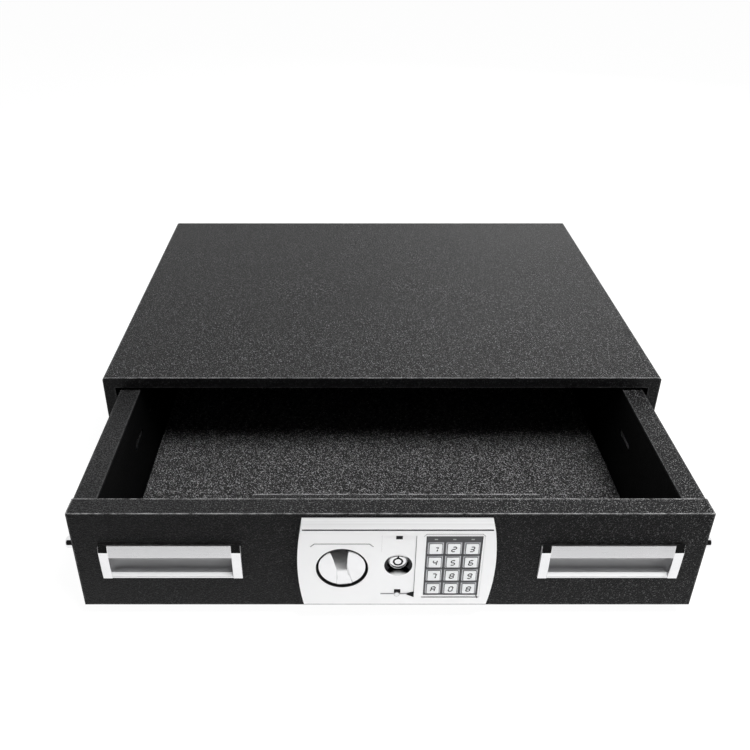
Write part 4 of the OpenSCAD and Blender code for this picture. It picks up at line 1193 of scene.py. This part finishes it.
@dataclass(frozen=True)
class TrimSize:
    """Dark and grey strips of painted shade in the panel's engraved lines, slots and pocket, in millimetres;
    slot 0 is dark, 1 grey.
    """

    face: float = -10.0  # place of the panel's face from the drawer's
    bars: tuple[Row, ...] = (
        (0, -81.2, 95.0, 122.35, 123.5, -10.03), (1, 24.3, 24.78, 44.4, 116.2, -9.75),
        (1, -7.58, -7.45, 96.0, 116.2, -9.5), (1, -7.5, 5.4, 41.3, 42.2, -9.8),
        (1, 11.0, 17.9, 40.8, 42.3, -9.8), (0, 5.5, 11.7, 111.4, 115.6, -9.3),
        (0, 5.5, 11.7, 42.6, 47.5, -9.3),
    )  # slot, x from, x to, z from, z to, y of each straight strip of painted shade
    plates: tuple[tuple[float, tuple[Pair, ...]], ...] = (
        (-9.9, ((18.0, 40.9), (24.75, 37.6), (24.75, 44.3), (18.0, 42.1))),
        (-10.04, ((84.6, 40.2), (85.4, 40.2), (86.6, 36.6), (85.6, 36.4))),
    )  # y and outline of each other dark patch of painted shade
    roots: Row = (1.6, 1.2, 0.6)  # depth behind the face of bars, plates and lines
    bracket: tuple[Pair, ...] = (
        (0.0, 31.3), (25.98, 31.3), (29.9, 27.45), (28.9, 27.3), (25.5, 30.4), (0.0, 30.4),
    )  # half the grey line of painted shade along the bracket over the knob, from the knob's middle
    border: float = 2.6  # width of the sunk border round the keypad
    margin: float = 0.6  # by which it is wider over and under the keypad
    line: float = 0.55  # width of the lines along it
    short: float = 0.8  # by which the lower line is shorter at each end
    mitre: Row = (0.7, 0.3, 0.4)  # of the upper lines' corners, in line widths: out, up, and out at the head
    proud: Pair = (0.02, 0.03)  # of the bracket and of the lines over the face
    seam: Row = (0.4, 0.65, 0.65, 0.4)  # width of the dark seam round the keypad, painted shadow in its gap: left, right, foot, head
    seam_y: Pair = (1.4, 0.57)  # its back and front behind the face
    stud: Pair = (8.2, 41.3)  # middle of the round stud under the lower clip, in X and Z
    stud_profile: tuple[Pair, ...] = ((2.65, 1.0), (2.65, -0.02), (2.3, -0.1), (2.0, -0.22), (1.4, -0.24))
    stud_slots: tuple[int, ...] = (1, 1, 2, 2)


class LockPanel(SubAssembly):
    """White panel with knob, key lock and keypad."""

    name = "lock panel"
    finishes = (("lock_panel", Look.PANEL, 0.3), ("keypad_plate", Look.PAD), ("keypad_board", Look.BOARD),
                ("indicator_lenses", Look.LENS), ("key_plug", Look.CHROME, 0.2))
    lock = LockSize()
    knob = KnobSize()
    key = KeySize()
    trim = TrimSize()
    # Which bars of a seven-bar digit each key shows: top, upper right, lower right, bottom, lower left,
    # upper left and middle are a to g
    signs: dict[str, str] = {
        "1": "bc", "2": "abged", "3": "abgcd", "4": "fgbc", "5": "afgcd", "6": "afgecd",
        "7": "abc", "8": "abcdefg", "9": "abcdfg", "a": "abcefg", "0": "abcdef", "b": "abcdefg",
    }

    def build(self) -> None:
        """Makes the knob, the lock's front, the strips of painted shade and the twelve keys, row by row."""
        self.shop.place(self._knob(), "knob", "bright_chrome", ("knob",), (Look.KNOB,))
        self.shop.place(self._well_shade_ring(), "drawer", "black_plastic", (), (Look.BLACK,))
        self.shop.place(self._funnel(), "drawer", "bright_chrome", (), (Look.CHROME, Look.THROAT_PAINTED_SHADE))
        self.shop.place(self._barrel(), "drawer", "bright_chrome", ("lock_barrel",), (Look.CHROME, Look.INK_AND_PAINTED_SHADE))
        self.shop.place(self._painted_shade_strips(), "drawer", "black_plastic", (), (Look.INK_AND_PAINTED_SHADE, Look.LINE, Look.KEY_FACE))
        for index, sign in enumerate(self.signs):
            made = self._key(index % 3 - 1, index // 3, sign)
            self.shop.place(made, f"key_{sign}", "key_plastic", (f"key_{sign}",),
                            (Look.KEY_SKIRT, Look.KEY_FACE, Look.INK_AND_PAINTED_SHADE))

    def _knob(self) -> Object:
        """A turned disc with an hourglass ridge.

        Returns:
            The knob.
        """
        size = self.knob
        form = Form((size.at[0], 0.0, size.at[1]))
        profile = [(size.radius - 0.5, size.back), (size.radius, size.back - 0.5)]
        form.turned(profile + [(size.radius + out, size.face + y) for out, y in size.rim], steps=96)
        reach = size.radius - size.inset
        sine, cosine = math.sin(math.radians(size.tilt)), math.cos(math.radians(size.tilt))
        rings = []
        for i in range(size.steps + 1):
            share = 2.0 * i / size.steps - 1.0
            along = max(-size.stop, min(size.stop, math.sin(share * math.pi / 2.0))) * reach
            end = size.end if share > 0 else size.foot
            wide = size.waist + (end - size.waist) * abs(along / reach) ** size.pinch
            wide = min(wide, math.sqrt(reach ** 2 - along ** 2))
            foot = min(wide + size.flare, math.sqrt((reach + size.past) ** 2 - along ** 2))
            tall = size.rise - self._fall(along)
            half = [(foot, size.face + size.sunk)]
            half += [(wide - inward, size.face - up * tall) for inward, up in size.section]
            side = [(-x, y) for x, y in half] + half[::-1]
            if wide < size.blunt:
                side = [(wide * (2.0 * k / (len(side) - 1) - 1.0), y) for k, (_, y) in enumerate(side)]
            rings.append([(x * cosine - along * sine, y, x * sine + along * cosine) for x, y in side])
        form.loft(rings)
        return form.make("knob_fine", smooth=32.0)

    def _fall(self, along: float) -> float:
        """How far the ridge has dropped: little near its crest, then evenly towards either end.

        Args:
            along: Place along the ridge, from the knob's middle.

        Returns:
            The drop.
        """
        size = self.knob
        off = abs(along - size.crest)
        slope = size.rise / (size.radius - math.copysign(size.crest, size.crest - along) - size.flat / 2.0)
        return slope * (off ** 2 / (2.0 * size.flat) if off < size.flat else off - size.flat / 2.0)

    def _well_shade_ring(self) -> Object:
        """A black ring in the well round the knob: painted shade in the gap round the disc.

        Returns:
            The ring.
        """
        form = Form((self.knob.at[0], 0.0, self.knob.at[1]))
        form.turned(self.lock.well, steps=96, closed=True)
        return form.make("knob_well_painted_shade")

    def _funnel(self) -> Object:
        """The plated funnel in front of the key lock.

        Returns:
            The funnel, with slots for its bright lip and for its throat, black as painted shade.
        """
        form = Form(self.lock.at)
        form.turned(self.lock.funnel, self.lock.funnel_slots, steps=72, closed=True)
        return form.make("lock_funnel", smooth=32.0)

    def _barrel(self) -> Object:
        """The key lock's barrel with its flange and bore, and a dark mark over the bore as painted shade in
        its notch.

        Returns:
            The barrel, with slots for the bright metal and for the bore and mark, dark as painted shade.
        """
        form = Form(self.lock.at)
        form.turned(self.lock.barrel, self.lock.barrel_slots, closed=True)
        form.prism(self.lock.mark, *self.lock.mark_y, slot=1)
        return form.make("lock_barrel_fine")

    def _painted_shade_strips(self) -> Object:
        """Dark and grey strips of painted shade in the panel's lines, slots and pocket, and the lines and
        seam round the keypad.

        Returns:
            The strips, with slots for the dark ones, the grey ones and the stud's face.
        """
        size, face = self.trim, self.trim.face
        bar_root, plate_root, line_root = (face + root for root in size.roots)
        form = Form()
        for slot, x0, x1, z0, z1, y in size.bars:
            form.block((x0, x1), (z0, z1), bar_root, y, slot)
        for y, outline in size.plates:
            form.prism(outline, plate_root, y)
        knob_x, knob_z = self.knob.at
        for side in (-1, 1):
            form.prism([(knob_x + side * x, knob_z + z) for x, z in size.bracket], line_root,
                       face - size.proud[0], slot=1)
        low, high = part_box("keypad_plate")
        x0, x1, z0, z1 = (value / MM for value in (low.x, high.x, low.z, high.z))
        a, b, c, d = size.seam
        for xs, zs in (((x0 - a, x0), (z0 - c, z1 + d)), ((x1, x1 + b), (z0 - c, z1 + d)),
                       ((x0, x1), (z0 - c, z0)), ((x0, x1), (z1, z1 + d))):
            form.block(xs, zs, *(face + y for y in size.seam_y))
        left, right = x0 - size.border, x1 + size.border
        foot, head = z0 - size.border - size.margin, z1 + size.border + size.margin
        cut, line, front = size.border, size.line, face - size.proud[1]
        upper = ((left, head - cut), (left + cut, head), (right - cut, head), (right, head - cut))
        out, up, above = (line * share for share in size.mitre)
        outer = ((left - out, head - cut + up), (left + cut - above, head + line),
                 (right - cut + above, head + line), (right + out, head - cut + up))
        for i in range(3):
            form.prism((upper[i], upper[i + 1], outer[i + 1], outer[i]), line_root, front, slot=1)
        form.block((left + size.short, right - size.short), (foot, foot - line), line_root, front, slot=1)
        form.turned([(radius, face + y) for radius, y in size.stud_profile], size.stud_slots, steps=40,
                    middle=size.stud)
        return form.make("panel_painted_shade", smooth=20.0)

    def _key(self, column: int, row: int, sign: str) -> Object:
        """A bevelled key with its sign.

        Args:
            column: -1, 0 or 1.
            row: 0 for the top row.
            sign: Name of the sign.

        Returns:
            The key, with slots for its skirt, face and sign.
        """
        size = self.key
        form = Form((size.mid + column * size.pitch, 0.0, size.top - row * size.pitch))
        over, thick, rounded = size.flange
        steps = [(-over, rounded, size.back), (-over, rounded, size.back - thick),
                 (0.0, size.crown[0][1], size.back - thick)]
        steps += [(inset, corner, size.front + y) for inset, corner, y in size.crown]
        rings = []
        for inset, corner, y in steps:
            half = size.side / 2.0 - inset
            rings.append(rect_ring(half, (-half, half), corner, y))
        form.loft(rings, size.slots)
        outlines = [self._bar(bar) for bar in self.signs[sign]]
        if sign == "1":
            outlines.append(size.flag)
        for outline in outlines:
            form.prism([(x + z * math.tan(math.radians(size.slant)), z) for x, z in outline],
                       size.front + size.relief, size.front - size.relief, slot=2)
        return form.make(f"key_{sign}_fine", smooth=28.0)

    def _bar(self, bar: str) -> list[Pair]:
        """Outline of one bar of an upright digit, in X and Z.

        Args:
            bar: Its letter.

        Returns:
            The bar's six corners.
        """
        size = self.key
        tall, wide, thick = size.digit / 2.0, size.digit * size.narrow, size.stroke / 2.0
        level = bar in "agd"
        start, end = (-wide, wide) if level else (0.0, tall) if bar in "bf" else (-tall, 0.0)
        start, end = start + size.gap, end - size.gap
        shape = ((start, 0.0), (start + thick, -thick), (end - thick, -thick), (end, 0.0),
                 (end - thick, thick), (start + thick, thick))
        if level:
            height = {"a": tall, "g": 0.0, "d": -tall}[bar]
            return [(along, height + off) for along, off in shape]
        middle = wide if bar in "bc" else -wide
        return [(middle + off, along) for along, off in shape]


@dataclass(frozen=True)
class BoltSize:
    """Sizes of a bolt, in millimetres."""

    axis: Pair = (13.0, 88.0)  # in Y from the drawer's face, and in Z
    tip: float = 310.0  # place of its tip in X, thrown
    profile: tuple[Pair, ...] = (
        (-22.5, 2.6), (-22.2, 3.0), (-20.0, 3.0), (-20.0, 5.7), (-19.7, 6.0), (-1.9, 6.0), (-1.4, 5.85),
        (-0.5, 5.05), (-0.1, 4.6), (0.0, 4.2),
    )  # (place from the tip, radius) pairs


@dataclass(frozen=True)
class CellSize:
    """Sizes of the cells, in millimetres."""

    y: float = 18.9  # their axis from the drawer's face
    rows: Pair = (51.2, 65.7)  # the rows' axes in Z; their cells point left and right
    starts: Pair = (33.7, 85.4)  # where the cells of a row start in X
    length: float = 50.5  # of a cell with its nub
    profile: tuple[Pair, ...] = (
        (0.0, 6.2), (0.25, 6.6), (0.25, 6.85), (0.6, 7.05), (47.6, 7.05), (48.1, 6.85), (48.2, 6.5),
        (49.1, 6.2), (49.3, 5.6), (49.3, 2.9), (49.5, 2.7), (50.2, 2.7), (50.5, 2.3),
    )  # (place from the flat end, radius) pairs
    slots: tuple[int, ...] = (1, 1, 0, 0, 0, 0, 1)  # the sleeve, or bare metal


class LockWorks(SubAssembly):
    """Bolt work, solenoid and electronics inside the hollow front."""

    name = "lock works"
    finishes = (
        ("knob_spindle", Look.ZINC), ("spindle_bush", Look.NYLON), ("crank_disc", Look.ZINC),
        ("drive_bar_left", Look.ZINC), ("drive_bar_right", Look.ZINC), ("bolt_bushes", Look.NYLON),
        ("bar_guides", Look.ZINC), ("lock_nut", Look.ZINC), ("lock_cam", Look.ZINC),
        ("solenoid_body", Look.BLACK), ("solenoid_plunger", Look.ZINC), ("plunger_spring", Look.ZINC),
        ("control_board", Look.BOARD), ("battery_holder", Look.BLACK), ("wire_harness", Look.WIRE),
        ("lock_cover", Look.COAT, 0.6, 3), ("battery_door", Look.BLACK, 0.3), ("reset_button", Look.RED, 0.3),
    )
    bolt = BoltSize()
    cell = CellSize()

    def build(self) -> None:
        """Makes the two bolts and the four cells."""
        for name, side in (("bolt_left", -1), ("bolt_right", 1)):
            self.shop.place(self._bolt(name, side), name, "bright_chrome", (name,), (Look.CHROME,))
        self.shop.place(self._cells(), "drawer", "battery_can", ("batteries",), (Look.CELL, Look.ZINC))

    def _bolt(self, name: str, side: int) -> Object:
        """A turned bolt with a rounded tip and a stub for its bar.

        Args:
            name: Name of the bolt's node.
            side: 1 for the right one, -1 for the left.

        Returns:
            The bolt.
        """
        size = self.bolt
        form = Form((0.0, *size.axis))
        form.loft([[(side * (size.tip + x), y, z) for y, z in circle(radius, 40)]
                   for x, radius in size.profile])
        return form.make(f"{name}_fine", smooth=25.0)

    def _cells(self) -> Object:
        """Four cells, each with a sleeve, bare ends and a nub.

        Returns:
            The cells, with slots for the sleeves and the bare metal.
        """
        size = self.cell
        form = Form((0.0, size.y, 0.0))
        for row, way in zip(size.rows, (-1, 1)):
            for start in size.starts:
                flat = start if way > 0 else start + size.length
                form.loft([[(flat + way * along, y, z) for y, z in circle(radius, 32, (0.0, row))]
                           for along, radius in size.profile], size.slots)
        return form.make("batteries_fine", smooth=25.0)


# fasteners


@dataclass(frozen=True)
class ScrewSize:
    """Sizes of a cross-head screw, in millimetres."""

    head: float  # radius of the head
    tall: float  # height of the head
    shank: float  # radius of the shank
    arm: float  # length of the cross
    slot: float  # width of the cross
    deep: float  # depth of the cross


@dataclass(frozen=True)
class ScrewSet:
    """One CAD node of screws."""

    node: str
    body: str
    axis: int  # 0 where they lie along X, 1 along Y
    size: ScrewSize


class Fasteners(SubAssembly):
    """All screws: one Geometry Nodes tree, which sets a screw on each point that it is given."""

    name = "fasteners"
    slide_screw = ScrewSize(head=3.5, tall=1.1, shank=2.0, arm=4.2, slot=0.9, deep=0.7)
    cover_screw = ScrewSize(head=3.0, tall=1.4, shank=1.5, arm=3.8, slot=0.8, deep=0.8)
    sets = (ScrewSet("cabinet_slide_screws", "cabinet", 0, slide_screw),
            ScrewSet("drawer_slide_screws", "drawer", 0, slide_screw),
            ScrewSet("lock_cover_screws", "drawer", 1, cover_screw))
    # The tree's sizes: those of ScrewSize in their order, and the length that the seats give
    inputs = ("Head Radius", "Head Height", "Shank Radius", "Cross Length", "Cross Width", "Cross Depth",
              "Shank Length")
    dome = (2.4, 0.45)  # power by which a head falls to its rim, and the fall as a share of its height

    def build(self) -> None:
        """Sets the screws of each node."""
        tree = self._tree()
        for each in self.sets:
            made = self._realize(tree, each, self._seats(each))
            self.shop.place(made, each.body, "zinc_steel", (each.node,))

    def _islands(self, mesh: bpy.types.Mesh) -> list[list[Vector]]:
        """Parts a mesh of loose triangles into its separate solids.

        Args:
            mesh: The mesh of a CAD node.

        Returns:
            The corners of each solid.
        """
        corners = [tuple(round(c, 6) for c in vert.co) for vert in mesh.vertices]
        owner = {corner: corner for corner in corners}

        def root(corner: Point) -> Point:
            """Finds the corner that stands for all that are joined to this one.

            Args:
                corner: Any corner.

            Returns:
                The corner that stands for it.
            """
            while owner[corner] != corner:
                corner = owner[corner]
            return corner

        for polygon in mesh.polygons:
            first = root(corners[polygon.vertices[0]])
            for index in polygon.vertices[1:]:
                owner[root(corners[index])] = first
        found: dict[Point, list[Vector]] = {}
        for corner in owner:
            found.setdefault(root(corner), []).append(Vector(corner))
        return list(found.values())

    def _seats(self, given: ScrewSet) -> list[tuple[Vector, Vector, float]]:
        """Finds the screws of a CAD node.

        Args:
            given: The node's screw set.

        Returns:
            For each screw the seat of its head, the way its head faces, and its shank's length.
        """
        axis, tall = given.axis, given.size.tall * MM
        seats = []
        for points in self._islands(self.shop.nodes[given.node].data):
            middle = Vector([(min(p[i] for p in points) + max(p[i] for p in points)) / 2.0 for i in range(3)])
            low, high = min(p[axis] for p in points), max(p[axis] for p in points)
            spread = []
            for end in (low, high):
                rim = [p - middle for p in points if abs(p[axis] - end) < 10.0 * SAME_CAD_CORNER]
                spread.append(max(math.hypot(*(p[i] for i in range(3) if i != axis)) for p in rim))
            way = Vector((0.0, 0.0, 0.0))
            way[axis] = 1.0 if spread[1] > spread[0] else -1.0
            middle[axis] = high - tall if way[axis] > 0 else low + tall
            seats.append((middle, way, high - low - tall))
        return sorted(seats, key=lambda seat: tuple(seat[0]))

    def _tree(self) -> bpy.types.GeometryNodeTree:
        """Builds the tree: a domed head with a cross cut in it and a shank, at each point.

        Returns:
            The tree, with named inputs for the sizes.
        """
        tree = bpy.data.node_groups.new("cross_head_screws", "GeometryNodeTree")
        kinds = {"Points": "Geometry", **dict.fromkeys(self.inputs, "Float"), "Finish": "Material"}
        for name, kind in kinds.items():
            tree.interface.new_socket(name, in_out="INPUT", socket_type=f"NodeSocket{kind}")
        tree.interface.new_socket("Screws", in_out="OUTPUT", socket_type="NodeSocketGeometry")
        g = Graph(tree)
        given = g.node("NodeGroupInput").outputs
        radius, tall, thin, length, width, deep, long = (given[name] for name in self.inputs)
        blank = g.out("GeometryNodeMeshCylinder", {"Vertices": 24, "Fill Segments": 3, "Radius": radius,
                                                   "Depth": tall})
        x, y, z = g.parts(g.out("GeometryNodeInputPosition"))
        reach = g.math("DIVIDE", g.math("SQRT", g.plus(g.times(x, x), g.times(y, y))), radius)
        power, share = self.dome
        fall = g.times(g.math("POWER", reach, power), tall, -share)
        upper = g.out("FunctionNodeCompare", {0: z, 1: 0.0}, data_type="FLOAT", operation="GREATER_THAN")
        domed = g.out("GeometryNodeSetPosition", {"Geometry": blank, "Selection": upper,
                                                  "Offset": g.up(fall)})
        head = self._moved(g, domed, g.times(tall, 0.5))
        arms = g.node("GeometryNodeJoinGeometry")
        through = g.times(deep, 2.0)
        for across, along in ((length, width), (width, length)):
            sides = g.out("ShaderNodeCombineXYZ", {0: across, 1: along, 2: through})
            g.feed(arms.inputs[0], g.out("GeometryNodeMeshCube", {"Size": sides}))
        cross = self._moved(g, arms.outputs[0], tall)
        cut = g.out("GeometryNodeMeshBoolean", {"Mesh 1": head, "Mesh 2": cross}, operation="DIFFERENCE")
        shank = g.out("GeometryNodeMeshCylinder", {"Vertices": 20, "Radius": thin, "Depth": long})
        screw = g.node("GeometryNodeJoinGeometry")
        g.feed(screw.inputs[0], cut)
        g.feed(screw.inputs[0], self._moved(g, shank, g.times(long, -0.5)))
        way = g.out("GeometryNodeInputNamedAttribute", {"Name": "way"}, data_type="FLOAT_VECTOR")
        faced = g.out("FunctionNodeAlignRotationToVector", {"Vector": way}, axis="Z")
        angle = g.node("FunctionNodeRandomValue", {2: 0.0, 3: math.pi, "Seed": 7}, data_type="FLOAT")
        twist = g.out("FunctionNodeEulerToRotation", {0: g.up(angle.outputs[1])})
        turned = g.out("FunctionNodeRotateRotation", {0: faced, 1: twist}, rotation_space="LOCAL")
        placed = g.out("GeometryNodeInstanceOnPoints", {
            "Points": given["Points"], "Instance": screw.outputs[0], "Rotation": turned})
        real = g.out("GeometryNodeRealizeInstances", {0: placed})
        painted = g.out("GeometryNodeSetMaterial", {"Geometry": real, "Material": given["Finish"]})
        g.node("NodeGroupOutput", {0: painted})
        return tree

    @staticmethod
    def _moved(g: Graph, geometry: Socket, z: Value) -> Socket:
        """Moves a geometry along Z."""
        return g.out("GeometryNodeTransform", {"Geometry": geometry, "Translation": g.up(z)})

    def _realize(self, tree: bpy.types.GeometryNodeTree, given: ScrewSet,
                 seats: Sequence[tuple[Vector, Vector, float]]) -> Object:
        """Runs the tree on one set of seats and keeps the result as a plain mesh.

        Args:
            tree: The screw tree.
            given: The set's node, body and sizes.
            seats: What _seats found.

        Returns:
            The screws as one object.
        """
        mesh = bpy.data.meshes.new(f"{given.node}_seats")
        mesh.from_pydata([tuple(seat) for seat, _, _ in seats], [], [])
        ways = mesh.attributes.new("way", "FLOAT_VECTOR", "POINT")
        for item, (_, way, _) in zip(ways.data, seats):
            item.vector = way
        holder = linked(f"{given.node}_seats", mesh)
        modifier = holder.modifiers.new("screws", "NODES")
        modifier.node_group = tree
        sizes = [value * MM for value in astuple(given.size)]
        values = dict(zip(self.inputs, (*sizes, seats[0][2])))
        values["Finish"] = self.shop.wardrobe.material(Look.ZINC)
        for item in tree.interface.items_tree:
            if item.in_out == "INPUT" and item.name in values:
                modifier[item.identifier] = values[item.name]
        graph = bpy.context.evaluated_depsgraph_get()
        result = bpy.data.meshes.new_from_object(holder.evaluated_get(graph), depsgraph=graph)
        holder.modifiers.clear()
        bpy.data.objects.remove(holder)
        bm = bmesh.new()
        bm.from_mesh(result)
        return finished(f"{given.node}_fine", bm, result, smooth=35.0)


# studio


@dataclass(frozen=True)
class Softbox:
    """One area light."""

    name: str
    place: Point
    aim: Point  # what it faces
    size: Pair  # width and height
    power: float  # watts
    glossy: bool = True  # whether it shows in reflections

    def build(self) -> None:
        """Makes the light."""
        data = bpy.data.lights.new(self.name, "AREA")
        data.shape = "RECTANGLE"
        data.size, data.size_y = self.size
        data.energy = self.power
        obj = linked(self.name, data)
        obj.location = self.place
        obj.rotation_euler = (Vector(self.aim) - Vector(self.place)).to_track_quat("-Z", "Y").to_euler()
        obj.visible_glossy = self.glossy


@dataclass(frozen=True)
class Studio:
    """Camera, floor, reflection card, world and lights."""

    eye: Point = (-0.04167, -1.0422, 0.63507)  # from a least-squares fit of the photograph
    pitch: float = 31.05  # degrees that the camera looks down
    lens: float = 39.55  # focal length in millimetres
    sensor: float = 36.0
    shift: float = 0.0398  # horizontal shift of the frame
    floor: float = 6.0  # half the floor's side
    floor_lit: float = 0.86  # its colour where it is lit
    floor_seen: Pair = (0.965, 0.2)  # its glow where it is seen, and the colour that shows the shadow there
    flag: Row = (1.4, -0.625, 0.003, 0.82)  # the card's half width, y, foot and head
    flag_dark: float = 0.012  # its brightness
    world: Pair = (0.07, 1.0)  # strength as a light and where it is seen
    lights: tuple[Softbox, ...] = (
        Softbox("key", (0.5, -0.80, 1.60), (0.0, -0.3, 0.08), (0.9, 0.40), 24.0, glossy=False),
        Softbox("low_front", (0.5, -2.2, 0.06), (0.0, -0.46, 0.07), (2.6, 0.1), 14.8, glossy=False),
        Softbox("rear", (0.7, 1.9, 1.0), (0.0, 0.0, 0.15), (0.7, 0.5), 6.0),
    )

    def build(self) -> None:
        """Makes the camera, lights, floor and world."""
        self._camera()
        for light in self.lights:
            light.build()
        self._floor()
        self._flag()
        self._world()
        bpy.context.scene.view_settings.view_transform = "Standard"

    def _camera(self) -> None:
        """The photograph's camera."""
        data = bpy.data.cameras.new("camera")
        data.sensor_width = self.sensor
        data.lens = self.lens
        data.shift_x = self.shift
        data.clip_start, data.clip_end = 0.01, 50.0
        obj = linked("camera", data)
        obj.location = self.eye
        obj.rotation_euler = (math.radians(90.0 - self.pitch), 0.0, 0.0)
        bpy.context.scene.camera = obj

    @staticmethod
    def _sheet(name: str, points: Sequence[Point]) -> Graph:
        """A flat stage piece with an empty material.

        Args:
            name: Name of the piece and its material.
            points: Its corners in order.

        Returns:
            The material's Graph.
        """
        mesh = bpy.data.meshes.new(name)
        mesh.from_pydata(points, [], [tuple(range(len(points)))])
        linked(name, mesh)
        material = bpy.data.materials.new(name)
        material.use_nodes = True
        material.node_tree.nodes.clear()
        mesh.materials.append(material)
        return Graph(material.node_tree)

    @staticmethod
    def _seen(g: Graph) -> Socket:
        """Tells the rays that show the backdrop from the rest.

        Args:
            g: The material's or the world's graph.

        Returns:
            One for camera, glossy and transmission rays, nought for others.
        """
        path = g.node("ShaderNodeLightPath").outputs
        either = g.math("MAXIMUM", path["Is Camera Ray"], path["Is Glossy Ray"])
        return g.math("MAXIMUM", either, path["Is Transmission Ray"])

    def _floor(self) -> None:
        """A wide pale floor: near white with a faint shadow where it is seen, matt where it is lit."""
        far = self.floor
        g = self._sheet("floor", ((-far, -far, 0.0), (far, -far, 0.0), (far, far, 0.0), (-far, far, 0.0)))
        glow, shadowed = self.floor_seen
        matt = g.out("ShaderNodeBsdfDiffuse", {"Color": tint(self.floor_lit)})
        faint = g.out("ShaderNodeBsdfDiffuse", {"Color": tint(shadowed)})
        plain = g.out("ShaderNodeEmission", {"Color": tint(1.0), "Strength": glow})
        shown = g.out("ShaderNodeAddShader", {0: plain, 1: faint})
        mixed = g.out("ShaderNodeMixShader", {0: self._seen(g), 1: matt, 2: shown})
        g.node("ShaderNodeOutputMaterial", {"Surface": mixed})

    def _flag(self) -> None:
        """A black card in front of the safe, which only reflections show."""
        wide, y, low, high = self.flag
        g = self._sheet("flag", ((-wide, y, low), (wide, y, low), (wide, y, high), (-wide, y, high)))
        glossy = g.node("ShaderNodeLightPath").outputs["Is Glossy Ray"]
        clear = g.out("ShaderNodeBsdfTransparent")
        black = g.out("ShaderNodeEmission", {"Color": tint(self.flag_dark), "Strength": 1.0})
        mixed = g.out("ShaderNodeMixShader", {0: glossy, 1: clear, 2: black})
        g.node("ShaderNodeOutputMaterial", {"Surface": mixed})

    def _world(self) -> None:
        """White where it is seen, soft grey as a light."""
        world = bpy.data.worlds.new("studio")
        bpy.context.scene.world = world
        world.use_nodes = True
        world.node_tree.nodes.clear()
        g = Graph(world.node_tree)
        strength = g.out("ShaderNodeMix", {0: self._seen(g), 2: self.world[0], 3: self.world[1]})
        plain = g.out("ShaderNodeBackground", {"Color": tint(1.0), "Strength": strength})
        g.node("ShaderNodeOutputWorld", {"Surface": plain})


def main() -> None:
    """Loads the frame, then builds and dresses every sub-assembly."""
    logging.basicConfig(level=logging.INFO, format="%(name)s: %(message)s")
    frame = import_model()
    shop = Shop(frame["nodes"], Wardrobe())
    Studio().build()
    for kind in (Cabinet, Slides, Drawer, Handles, LockPanel, LockWorks, Fasteners):
        part = kind(shop)
        part.build()
        part.dress()
        LOG.info("%s done", part.name)


if __name__ == "__main__":
    main()
